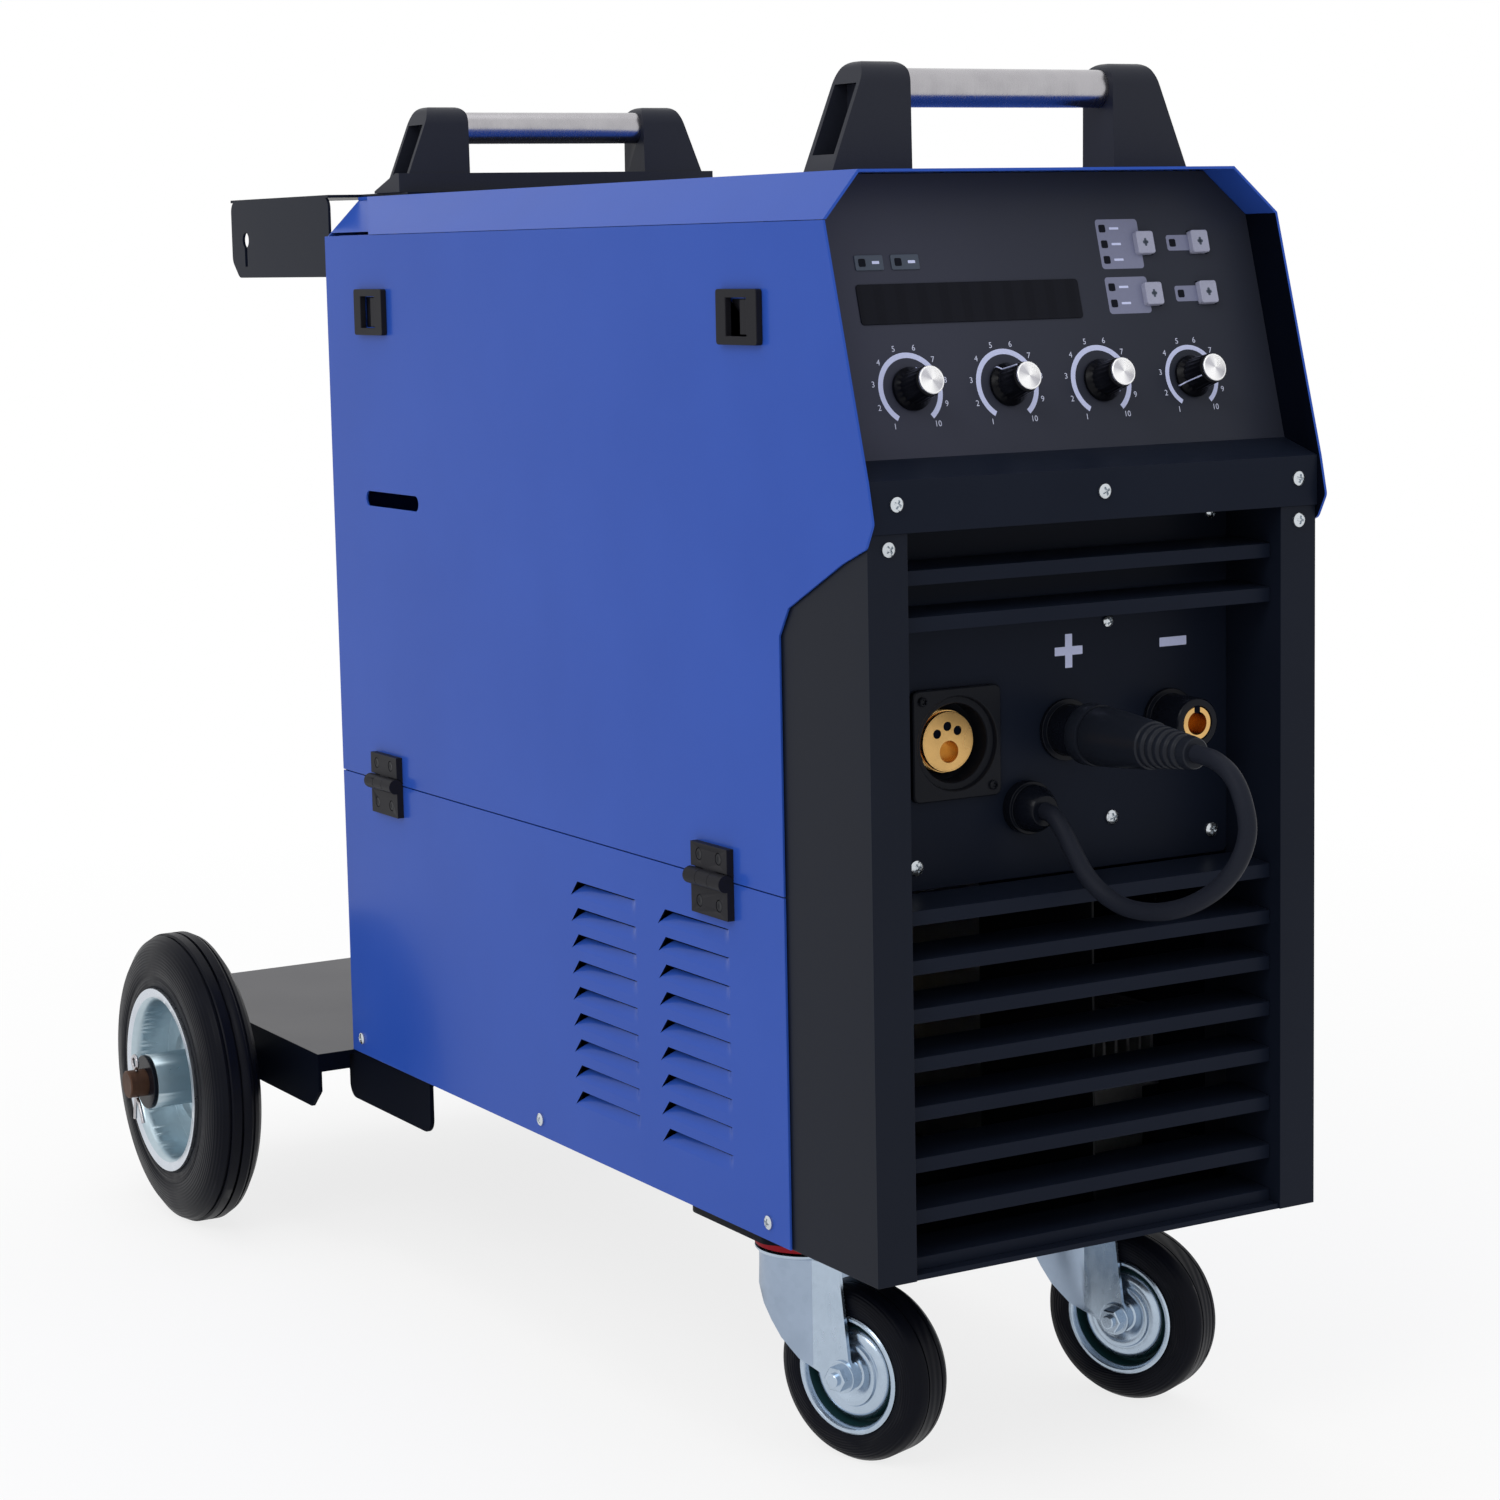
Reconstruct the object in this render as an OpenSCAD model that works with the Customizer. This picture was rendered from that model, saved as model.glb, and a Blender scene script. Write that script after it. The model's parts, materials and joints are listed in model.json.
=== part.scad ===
// Wire-feed welding machine on a two-wheel cart with a shelf for a gas bottle.
// Units are millimetres. The modules are drawn in the machine's own directions: X across,
// Y from the front frame to the back, Z up from the lower edge of the case.
// in_frame() then puts the floor at Z = 0 and the middle of the whole machine on the Z axis.

/* [Case] */
// Width over the front frame
case_w = 300; // [290:1:330]
// Length from the front frame to the rear panel
case_l = 680; // [670:1:740]
// Height of the roof over the lower edge of the case
roof_h = 595; // [588:1:620]
// Height of the seam between the lower left panel and the door
seam_h = 200; // [196:1:206]
// Width and height of the bevel along each side of the roof
bevel = 26; // [20:1:32]
// Thickness of the sheet metal
sheet = 1.5; // [1:0.1:2]
// Thickness of the base plate
base_t = 3; // [2:0.5:4]
// Height of the top edge of the front flange
flange_top = 433; // [430:1:437]
// Front edge of the lower blue panels, behind the front frame
side_y = 88; // [84:1:92]
// Width of each front column
column_w = 25; // [20:1:27]

/* [Front] */
// Distance from the front frame back to the connector panel
panel_y = 48; // [44:1:52]
// Height of the lip of a slat
lip_h = 8; // [6:0.5:10]
// Setback of the slats behind the front frame
slat_y = 9; // [6:1:12]
// Height of the torch socket and the two current sockets
socket_z = 284; // [280:1:288]
// Radius of the collar of a current socket
socket_r = 14.5; // [13:0.5:16]
// Bore of a current socket for a 13 mm plug pin
socket_bore = 13.1; // [13:0.05:13.4]
// Radius of the brass block of the torch socket
torch_r = 16; // [14:0.5:18]
// Diameter of the central bore of the torch socket
torch_bore = 11.4; // [10:0.1:12]
// Radius of a dial knob at its skirt
knob_r = 12; // [10:0.5:13]
// Length of a dial knob
knob_l = 21.5; // [18:0.5:24]
// Travel of a push key
key_travel = 1; // [0.6:0.1:1.5]

/* [Door] */
// Diameter of the hinge pins that the door swings on
hinge_pin_d = 4.8; // [4:0.1:5.2]
// Length of a hinge along the seam
hinge_l = 41; // [36:1:46]
// Height of one hinge leaf from the seam
leaf_h = 20; // [17:0.5:24]
// Travel of a latch slider
latch_travel = 13; // [10:0.5:13]

/* [Handles] */
// Diameter of the steel grip tubes
grip_d = 21.3; // [18:0.1:22]
// Height of the top of a handle over the roof
handle_h = 59; // [55:1:66]

/* [Cart] */
// Diameter of a rear wheel
wheel_d = 211; // [200:1:216]
// Width of a rear tyre
wheel_w = 38; // [34:1:42]
// Distance between the middles of the rear tyres
track = 447; // [436:1:456]
// Diameter of the rear axle
axle_d = 20; // [16:0.5:22]
// Rear axle behind the front frame
axle_y = 818; // [810:1:822]
// Diameter of a caster wheel
caster_d = 104.6; // [96:0.2:107]
// Width of a caster wheel
caster_w = 32; // [26:1:33]
// Kingpins of the casters from the middle
caster_x = 95.5; // [86:0.5:96]
// Kingpins of the casters behind the front frame
caster_y = 161.5; // [156:0.5:170]
// Offset of a caster wheel from its kingpin
caster_trail = 41; // [38:1:42]
// Turn of the left caster
caster_turn_left = 19; // [0:0.1:30]
// Turn of the right caster
caster_turn_right = 23.4; // [0:0.1:30]
// Length of the bottle tray behind the case
tray_l = 295; // [288:1:310]
// Width of the bottle tray
tray_w = 356; // [340:1:366]
// Radius of the gas bottle that the bracket holds
bottle_r = 102; // [95:1:105]

/* [Inside] */
// Diameter of the wire spool
spool_d = 300; // [270:1:304]
// Width of the wire spool
spool_w = 100; // [90:1:102]
// Diameter of the hub that the spool turns on
hub_d = 51; // [49:0.5:52]
// Radius of the drive roll
drive_r = 15; // [13:0.5:16]
// Radius of the pressure roll
press_r = 13; // [11:0.5:14]
// Diameter of the welding wire
wire_d = 1; // [0.8:0.1:1.6]
// Radius of the fan rotor
fan_r = 42; // [36:1:43]

/* [Hidden] */
$fn = 48;

gap = 0.3;              // clearance between separate pieces
fit = 0.05;             // radial clearance of a running fit
half = case_w / 2;
in_x = half + gap;      // inner face of the blue side sheets
out_x = in_x + sheet;   // outer face of the blue side sheets
roof_in = roof_h - sheet;
bevel_z = roof_h - bevel;
nose_y = -8;            // foremost point of the blue cheeks
rear_in = case_l - sheet;
far = 900;

// Cart
axle_z = -37;
floor_z = axle_z - wheel_d / 2;
tray_y = case_l + 3;
tray_end = tray_y + tray_l;
tray_t = 3;
tray_top = -1;          // the tray lies a little below the plate under the case
mid_y = (nose_y + tray_end) / 2;
caster_z = floor_z + caster_d / 2;

// Front
opening_x = half - column_w;
slat_x = opening_x - gap;
slat_tops = [36.5, 65, 93.5, 120.5, 147.4, 174, 201, 359, 384];
torch_x = -65;
plus_x = 10;
minus_x = 82;
gland_x = -18;
gland_z = 243;
plug_end_y = -70;       // where the lead enters the plug
socket_front = panel_y - 28;
lead_d = 10;

// Sloping console, from its foot to its upper edge
foot_y = 27;
foot_z = flange_top + 9;
head_y = 69;
head_z = roof_in - gap;
lean = atan((head_y - foot_y) / (head_z - foot_z));
console_l = norm([head_y - foot_y, head_z - foot_z]);
knob_v = 0.239 * console_l;
key_v = [0.733 * console_l, 0.545 * console_l];
knob_xs = [-97.5, -34.5, 28.5, 91.5];
key_size = [12, 13];
key_places = [[73, key_v[0]], [73, key_v[1]], [111.5, key_v[0]], [111.5, key_v[1]]];
shaft_r = 3;

// Door
hinge_ys = [162.5, case_l - 77.5];
barrel_r = 5;
leaf_t = 4.5;
hinge_x = -(out_x + barrel_r + 0.2);
door_lo = seam_h + gap;
door_hi = bevel_z - gap;
latch_ys = [121, case_l - 75];
latch_z = bevel_z - 51.3;
latch_size = [44, 30.5];
window_size = [22, 21];
flange_lo = latch_z + 27;

// Handles
handle_ys = [92, case_l - 43];
bar_h = 12.5;
post_in = 68;
post_out = 119.5;
plate_t = 2;            // thickness of the bottle bracket, which lies on the roof
grip_z = roof_h + handle_h - 14;

// Wire feeder and spool
wall_x = 41;            // left face of the dividing wall
shelf_z = seam_h - gap - 2 * sheet;
wire_x = torch_x;
wire_z = socket_z - 1;
plate_x = -50;          // face of the feeder plate that the rolls run in front of
plate_size = [124, 104];
roll_y = 190;
roll_w = 10;
drive_z = wire_z - wire_d / 2 - drive_r;
press_z = wire_z + wire_d / 2 + press_r;
arm_pivot = [225, wire_z + 27];
lever_pivot = [142, wire_z - 21];
lever_lean = 40;
lever_x = -80;
spool_y = 450;
spool_z = 365;
spool_x = -63;
post_collar_x = spool_x + spool_w / 2 + gap;

// Back
fan_x = (wall_x + sheet + in_x) / 2;
fan_z = 350;
fan_t = 25;
switch_z = 470;
mains_z = 230;
gas_x = -100;
gas_z = seam_h - 80;

// The lead's route from the gland to the plug, drawn in the machine's own directions
LEAD_ROUTE = [[-18, 28, 243], [-18, 20, 241], [-17, 13, 234], [-15, 7, 224], [-12, 0, 212],
    [-8, -10, 202], [-4, -24, 196], [0, -40, 195], [4, -57, 198], [8, -74, 205], [11, -90, 216],
    [13, -102, 230], [14, -108, 246], [13, -106, 262], [12, -98, 275], [11, -85, 282],
    [10, -70, 284]];

BLUE = [0.24, 0.36, 0.66];
BLACK = [0.13, 0.15, 0.19];
PLASTIC = [0.20, 0.21, 0.25];
ZINC = [0.72, 0.75, 0.80];
BRASS = [0.78, 0.59, 0.27];
RUBBER = [0.10, 0.10, 0.11];
STEEL = [0.66, 0.67, 0.69];

/* ---- helpers ---- */

module in_frame() translate([0, -mid_y, -floor_z]) children();

// A 2D outline in (Y, Z), extruded from x0 to x1
module along_x(x0, x1) translate([x0, 0, 0]) rotate([90, 0, 90]) linear_extrude(x1 - x0) children();

// A 2D outline in (X, Z), extruded from y0 to y1
module along_y(y0, y1) translate([0, y1, 0]) rotate([90, 0, 0]) linear_extrude(y1 - y0) children();

// A box from its lowest to its highest corner
module block(lo, hi) translate(lo) cube(hi - lo);

module rod_x(x0, x1, r, y, z) translate([x0, y, z]) rotate([0, 90, 0]) cylinder(h = x1 - x0, r = r);
module rod_y(y0, y1, r, x, z) translate([x, y0, z]) rotate([-90, 0, 0]) cylinder(h = y1 - y0, r = r);
module rod_z(z0, z1, r, x, y) translate([x, y, z0]) cylinder(h = z1 - z0, r = r);

module both_sides() {
    children();
    mirror([1, 0, 0]) children();
}

// A rectangle about the origin with round corners
module plate_outline(w, h, r) offset(r = r) square([w - 2 * r, h - 2 * r], center = true);

// Case section in (X, Z), drawn in by i from the outer skin
function case_section(i) = let (h = out_x - i, t = roof_h - i, b = bevel - i * (2 - sqrt(2)))
    [[-h, 0], [-h, t - b], [-h + b, t], [h - b, t], [h, t - b], [h, 0]];

// Side view of the blue cheeks in (Y, Z): lower edge, nose beside the flange, sloping front
module side_outline() offset(r = 5, $fn = 32) offset(delta = -5)
    polygon([[side_y, -60], [side_y, flange_top - 88], [side_y - 10, flange_top - 72],
        [23, flange_top - 44.5], [-1, flange_top - 35], [nose_y, flange_top - 22],
        [-3, flange_top], [36, bevel_z], [42, roof_h], [54, roof_h + 60],
        [far, roof_h + 60], [far, -60]]);

// Places children on the console: x across, v up the slope, local Z outwards
module on_console(x, v) translate([x, foot_y + v * sin(lean), foot_z + v * cos(lean)])
    rotate([90 - lean, 0, 0]) children();

/* ---- louvres ---- */

louvre_l = 86;
louvre_h = 10;
louvre_out = 5;
louvre_rows = 9;
louvre_pitch = 16.7;
louvre_top = seam_h - 29;
louvre_cols = [145, 257];

// Side view of a louvre: open along the top, its rear end slanted
module louvre_side(in) polygon([[in, 0], [4 + in, -louvre_h], [louvre_l - 13 - in, -louvre_h],
    [louvre_l - in, 0]]);

module louvre_at(y, z, wall) {
    translate([-out_x, y, z]) intersection() {
        along_y(-1, louvre_l + 1) polygon(wall == 0
            ? [[0.5, -louvre_h], [0, -louvre_h], [-louvre_out, 0], [0.5, 0]]
            : [[sheet + 1, wall - louvre_h], [0, wall - louvre_h], [wall - louvre_out, 1],
               [sheet + 1, 1]]);
        along_x(-9, 9) louvre_side(wall);
        translate([-9, -2, -20]) cube([18, louvre_l + 4, wall == 0 ? 20 : 19.8]);
    }
}

module all_louvres(wall) for (y = louvre_cols, i = [0 : louvre_rows - 1])
    louvre_at(y, louvre_top - i * louvre_pitch, wall);

/* ---- case ---- */

module base_plate() color(BLACK) in_frame() difference() {
    union() {
        block([-in_x, side_y + 12, 0], [in_x, rear_in, base_t]);
        block([-half + sheet, sheet, 0], [half - sheet, side_y + 13, base_t]);
        both_sides() block([-in_x, side_y + 13, 0], [-in_x + sheet, rear_in, 16]);
        block([-in_x, rear_in - sheet, 0], [in_x, rear_in, 16]);
    }
    for (x = [-90 : 30 : 90], y = [case_l - 350 : 40 : case_l - 70]) rod_z(-1, base_t + 1, 4, x, y);
}

module front_bezel() color(BLACK) in_frame() {
    both_sides() difference() {
        union() {
            block([-half, 0, 0], [-opening_x, sheet, flange_top - 28]);
            block([-opening_x - sheet, 0, base_t], [-opening_x, panel_y + 2, flange_top - 28]);
            intersection() {
                block([-half, 0, 0], [-half + sheet, side_y + 11, flange_top - 28]);
                along_x(-far, far) polygon([[0, 0], [far, 0], [far, flange_top - 60],
                    [40, flange_top - 28], [0, flange_top - 28]]);
            }
        }
        rod_y(-1, 3, 2, -half + 12.5, flange_top - 36);
    }
}

// One slat: front lip, top face sloping up to the panel, and a short rear lip
module slat(top) along_x(-slat_x, slat_x) polygon([[slat_y, top - lip_h], [slat_y, top],
    [panel_y - 8, top + 2.5], [panel_y - 8, top - 3], [panel_y - 8 - sheet, top - 3],
    [panel_y - 8 - sheet, top + 2.5 - sheet], [slat_y + sheet, top - sheet],
    [slat_y + sheet, top - lip_h]]);

module front_slats() color(BLACK) in_frame() {
    for (top = slat_tops) {
        slat(top);
        both_sides() block([-slat_x, slat_y + sheet, top - lip_h],
            [-slat_x + sheet, panel_y - 9, top - 0.5]);
    }
    // bottom lip, standing on the tongue of the base plate
    along_x(-slat_x, slat_x) polygon([[slat_y, base_t], [slat_y, base_t + lip_h - 1],
        [panel_y - 8, base_t + lip_h + 1], [panel_y - 8, base_t + lip_h - 0.5],
        [slat_y + sheet, base_t + lip_h - 2.5], [slat_y + sheet, base_t]]);
}

panel_lo = 203;
panel_hi = flange_top - 25;

module connector_panel() color(BLACK) in_frame() difference() {
    union() {
        along_y(panel_y, panel_y + sheet) translate([0, (panel_lo + panel_hi) / 2])
            plate_outline(2 * slat_x, panel_hi - panel_lo, 4);
        both_sides() block([-slat_x, panel_y, panel_lo + 5],
            [-slat_x + sheet, panel_y + 14, panel_hi - 5]);
    }
    rod_y(panel_y - 1, panel_y + 3, torch_r + 7.3, torch_x, socket_z - 1);
    for (x = [plus_x, minus_x]) rod_y(panel_y - 1, panel_y + 3, socket_r - 2 + fit, x, socket_z);
    rod_y(panel_y - 1, panel_y + 3, 8 + fit, gland_x, gland_z);
}

// Front flange, ledge and console, folded from one sheet
module control_panel() color(BLACK) in_frame() difference() {
    intersection() {
        along_x(-half, half) polygon([[-sheet, flange_top - 28], [-sheet, flange_top],
            [foot_y, foot_z], [head_y, head_z],
            [head_y + sheet * cos(lean), head_z - sheet * sin(lean)],
            [foot_y + sheet * cos(lean), foot_z - sheet * sin(lean)],
            [foot_y + 0.5, foot_z - 1.1 * sheet], [0, flange_top - sheet], [0, flange_top - 28]]);
        along_y(-20, side_y) polygon(case_section(sheet + gap));
    }
    for (x = knob_xs) on_console(x, knob_v)
        translate([0, 0, -6]) cylinder(h = 12, r = shaft_r + fit);
    for (p = key_places) on_console(p[0], p[1]) translate([0, 0, -3])
        linear_extrude(6) square(key_size + [2 * gap, 2 * gap], center = true);
}

module display_window() color([0.05, 0.05, 0.07]) in_frame() {
    on_console(-49.5, 0.535 * console_l) linear_extrude(1.2) plate_outline(143, 21, 2);
    for (x = [-113.5, -93.5]) on_console(x, 0.685 * console_l) linear_extrude(1)
        plate_outline(14.5, 8, 1);
}

module hood() color(BLUE) in_frame() difference() {
    union() {
        intersection() {
            along_y(-20, case_l) difference() {
                polygon(case_section(0));
                polygon(case_section(sheet));
                square([2 * in_x, 2], center = true);
            }
            along_x(-far, far) side_outline();
            union() {
                block([-far, -far, bevel_z], [far, far, far]);
                block([0, -far, -1], [far, far, far]);
            }
        }
        // keeper strip behind the door, which the latches hook over
        block([-in_x + 2 * gap, 100, flange_lo], [-in_x + 2 * gap + sheet, case_l - 20, bevel_z + 1.2]);
        mirror([1, 0, 0]) all_louvres(0);
    }
    mirror([1, 0, 0]) all_louvres(1.2);
    for (y = latch_ys) block([-in_x - 1, y - latch_travel / 2 - 7, flange_lo - 1],
        [-in_x + 4, y - latch_travel / 2 + 7, flange_lo + 14]);
    // rear corners, cut back along a slant
    both_sides() along_x(-far, -out_x + bevel) polygon([[case_l - 72, bevel_z],
        [case_l - 15, roof_h], [case_l - 10, roof_h + 5], [case_l + 5, roof_h + 5],
        [case_l + 5, bevel_z]]);
}

module left_lower_panel() color(BLUE) in_frame() difference() {
    union() {
        block([-out_x, side_y, 0], [-in_x, case_l, seam_h - gap]);
        block([-out_x + 0.2, side_y + 14, seam_h - gap - sheet], [-in_x + 12, rear_in - 3, seam_h - gap]);
        all_louvres(0);
    }
    all_louvres(1.2);
}

module rear_panel() color(BLUE) in_frame() difference() {
    union() {
        along_y(rear_in, case_l) polygon(case_section(sheet + gap));
        // bevelled corners, which show where the hood is cut back
        along_y(case_l - 80, case_l) difference() {
            intersection() {
                polygon(case_section(sheet + gap));
                union() both_sides()
                    translate([-out_x - 5, bevel_z - 30]) square([bevel + 14, 80]);
            }
            translate([0, -gap]) polygon(case_section(2 * sheet + gap));
            translate([-in_x - 5, bevel_z - 40]) square([2 * in_x + 10, 42]);
        }
        both_sides() block([-in_x + gap, rear_in - 14, 20], [-in_x + gap + sheet, rear_in + 0.2, 170]);
    }
    // fan outlet: a round field of slots
    intersection() {
        rod_y(rear_in - 1, case_l + 1, fan_r, fan_x, fan_z);
        union() for (i = [-5 : 5]) block([fan_x - 60, rear_in - 2, fan_z + i * 8 - 2.5],
            [fan_x + 60, case_l + 2, fan_z + i * 8 + 2.5]);
    }
    rod_y(rear_in - 1, case_l + 1, 9 + fit, fan_x, mains_z);
    rod_y(rear_in - 1, case_l + 1, 15 + fit, fan_x, switch_z);
    rod_y(rear_in - 1, case_l + 1, 8 + fit, gas_x, gas_z);
}

module inner_frame() color(ZINC) in_frame() difference() {
    union() {
        block([wall_x, panel_y + 18, base_t], [wall_x + sheet, rear_in - 2 * sheet, roof_in - gap - bevel]);
        block([-in_x, side_y + 13, shelf_z], [wall_x + 0.2, rear_in - 2 * sheet, shelf_z + sheet]);
        // folded rim of the shelf over the lower compartment
        block([-in_x + 14, side_y + 13, shelf_z - 14], [-in_x + 14 + sheet, rear_in - 20, shelf_z + 0.2]);
        block([wall_x + 0.2 - 12, panel_y + 18, roof_in - gap - bevel - sheet],
            [wall_x + sheet, rear_in - 20, roof_in - gap - bevel]);
        // tie from the top of the wall to the roof
        for (y = [150, case_l - 120]) block([wall_x, y, roof_in - bevel - 1],
            [wall_x + sheet, y + 60, roof_in]);
    }
    // room for the console board
    block([wall_x - 20, 0, foot_z - 20], [wall_x + 5, head_y + 40, far]);
    // lightening and cable holes
    for (d = [350, 290, 120, 60]) rod_x(wall_x - 1, wall_x + 3, 18, case_l - d, 120);
}

/* ---- handles ---- */

// Front view of the left post: sloping outside, upright inside, round top
module post_outline() offset(r = 6, $fn = 32) offset(delta = -6)
    polygon([[-post_out - 16, roof_h - 40], [-post_out, roof_h], [-96, roof_h + handle_h],
        [-post_in, roof_h + handle_h], [-post_in, roof_h - 40]]);

// Left post of the handle at y, standing on the height foot
module post(y, foot) difference() {
    intersection() {
        along_y(y - 16, y + 16) post_outline();
        // side view: an arch round the grip
        along_x(-far, far) offset(r = 12, $fn = 48) offset(delta = -12)
            polygon([[y - 15.5, roof_h - 40], [y - 14, roof_h + handle_h],
                [y + 14, roof_h + handle_h], [y + 15.5, roof_h - 40]]);
        block([-far, -far, foot], [far, far, far]);
    }
    rod_x(-84, -post_in + 1, grip_d / 2 + fit, y, grip_z);
    // screw pocket in the sloping outside
    along_y(y - 11, y + 11) translate([-130, foot + 9])
        square([37, roof_h + handle_h - 12 - foot - 9]);
}

module handle_posts() color(PLASTIC) in_frame() {
    bar_z = roof_h + plate_t;
    y = handle_ys[1];
    both_sides() {
        post(handle_ys[0], roof_h);
        post(y, bar_z);
    }
    // bar under the rear handle, which falls away to the back
    along_x(-122, 122) polygon([[y - 16, bar_z], [y - 16, bar_z + bar_h], [y - 9.5, bar_z + bar_h],
        [y + 24, bar_z + 1.5], [y + 24, bar_z]]);
}

module handle_tubes() color(STEEL) in_frame() for (y = handle_ys) difference() {
    rod_x(-83, 83, grip_d / 2, y, grip_z);
    rod_x(-84, 84, grip_d / 2 - 2, y, grip_z);
}

/* ---- cart ---- */

bracket_end = case_l + 183;
bracket_x = 145;

module cylinder_bracket() color(BLACK) in_frame() difference() {
    union() {
        block([-120, case_l - 68, roof_h], [120, case_l + 10, roof_h + plate_t]);
        block([-bracket_x, case_l + 8, roof_h], [bracket_x, bracket_end, roof_h + plate_t]);
        both_sides() along_x(-bracket_x, -bracket_x + plate_t) offset(r = 8, $fn = 32)
            offset(delta = -8) polygon([[case_l + 8, roof_h - 54], [bracket_end - 12, roof_h - 54],
                [bracket_end, roof_h - 42], [bracket_end, roof_h + 1], [case_l + 8, roof_h + 1]]);
        // flange that is screwed to the back of the case
        block([-110, case_l, roof_h - 40], [110, case_l + plate_t, roof_h + 0.2]);
    }
    rod_z(roof_h - 10, roof_h + 10, bottle_r + 8, 0, bracket_end + 10);
    // keyholes for the chain
    both_sides() {
        rod_x(-far, -100, 5.5, bracket_end - 26, roof_h - 27);
        block([-far, bracket_end - 28.2, roof_h - 46], [-100, bracket_end - 23.8, roof_h - 27]);
    }
}

axle_boss = 16;

module cylinder_tray() color(BLACK) in_frame() difference() {
    union() {
        // plate under the case and tray behind it
        block([-half + 1, case_l - 121, -tray_t], [half - 1, tray_y + 1, 0]);
        block([-tray_w / 2, tray_y, tray_top - tray_t], [tray_w / 2, tray_end, tray_top]);
        both_sides() {
            along_x(-tray_w / 2, -tray_w / 2 + tray_t) {
                polygon([[tray_y, tray_top], [tray_y, -28], [tray_y + 14, -41], [tray_end, -41],
                    [tray_end, tray_top]]);
                translate([axle_y, axle_z]) circle(axle_boss);
            }
            // skirt bracket that carries the case on the tray
            along_x(-half, -half + tray_t) offset(r = 10, $fn = 32) offset(delta = -10)
                polygon([[case_l - 121, 10], [case_l - 121, -36], [tray_y + 9, -36], [tray_y + 9, 10]]);
        }
        block([-tray_w / 2, tray_y, -14], [-half - 3, tray_y + tray_t, tray_top]);
        block([half + 3, tray_y, -14], [tray_w / 2, tray_y + tray_t, tray_top]);
        block([-tray_w / 2, tray_end - tray_t, -41], [tray_w / 2, tray_end, tray_top]);
        // two bearers for the axle under the tray
        both_sides() along_x(-92, -86) {
            polygon([[axle_y - 50, tray_top], [axle_y - 12, -41], [axle_y + 12, -41],
                [axle_y + 50, tray_top]]);
            translate([axle_y, axle_z]) circle(axle_boss);
        }
    }
    block([-half - 5, case_l - 140, 0], [half + 5, tray_y + 9.5, 20]);
    block([-half - 5, tray_y + 1, tray_top], [half + 5, tray_y + 9.5, 20]);
    rod_x(-far, far, axle_d / 2, axle_y, axle_z);
}

hub_in = track / 2 - 22;
hub_out = track / 2 + 30;
pin_x = hub_out + 10;

module rear_axle() color([0.36, 0.24, 0.18]) in_frame() {
    difference() {
        rod_x(-hub_out - 17, hub_out + 17, axle_d / 2, axle_y, axle_z);
        both_sides() rod_z(axle_z - 20, axle_z + 20, 2, -pin_x, axle_y);
    }
    both_sides() {
        // washer outside the hub and spacer between tray and hub
        rod_x(-hub_out - 3 - gap, -hub_out - gap, axle_d / 2 + 9.5, axle_y, axle_z);
        difference() {
            rod_x(-hub_in + gap, -tray_w / 2, axle_d / 2 + 4, axle_y, axle_z);
            rod_x(-hub_in - 1, -tray_w / 2 + 1, axle_d / 2 - 1, axle_y, axle_z);
        }
        // split pin with its bent legs
        rod_z(axle_z - 19, axle_z + 14, 1.9, -pin_x, axle_y);
        translate([-pin_x, axle_y, axle_z + 16]) rotate([0, 90, 0])
            rotate_extrude() translate([3.2, 0]) circle(1.4);
    }
}

rim_r = 60;
hub_r = 19.8;

// A deep barrel with rolled edges, a stepped disc near its inner end and a tube for a hub
module rear_rim(side) color(ZINC) in_frame() mirror([side, 0, 0])
    translate([-track / 2, axle_y, axle_z]) rotate([0, 90, 0]) rotate_extrude($fn = 96) {
        w = wheel_w / 2;
        polygon([[axle_d / 2 + fit, -30], [hub_r, -30], [hub_r, 3], [34, 3], [38, 7], [57, 7],
            [57.5, -w + 2], [60.5, -w - 1.7], [rim_r + 6.8, -w - 2.5], [rim_r + 6.8, -w - 0.3],
            [rim_r + 6, 2 - w], [rim_r, 4 - w], [rim_r, w - 4], [rim_r + 6, w - 2],
            [rim_r + 6.8, w + 0.3], [rim_r + 6.8, w + 2.5], [60.5, w + 1.7], [57.5, w - 2],
            [57, 10], [38, 10], [34, 6], [hub_r, 6], [hub_r, 22], [axle_d / 2 + fit, 22]]);
    }

module rear_tyre(side) color(RUBBER) in_frame() mirror([side, 0, 0])
    translate([-track / 2, axle_y, axle_z]) rotate([0, 90, 0]) rotate_extrude($fn = 96) {
        w = wheel_w / 2;
        r = wheel_d / 2;
        difference() {
            polygon([[rim_r, 4 - w], [rim_r + 6, 2 - w], [rim_r + 7, -w], [r - 22, -w - 1],
                [r - 10, -w + 1], [r - 3, -w + 6], [r, -w + 12], [r, w - 12], [r - 3, w - 6],
                [r - 10, w - 1], [r - 22, w + 1], [rim_r + 7, w], [rim_r + 6, w - 2], [rim_r, w - 4]]);
            for (s = [-9, 0, 9]) translate([r - 2.5, s - 1]) square([4, 2]);
            for (s = [-1, 1]) translate([r - 30, s * (w + 1.2)]) circle(1);
        }
    }

/* ---- casters, drawn with the kingpin on the Z axis and the wheel towards -Y ---- */

seal_r = 31;
crown_z = -22;
fork_gap = caster_w / 2 + 2;
fork_t = 2.5;
bolt_r = 4;

module at_caster(side, turn) translate([side * caster_x, caster_y, 0]) rotate(turn) children();

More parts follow.
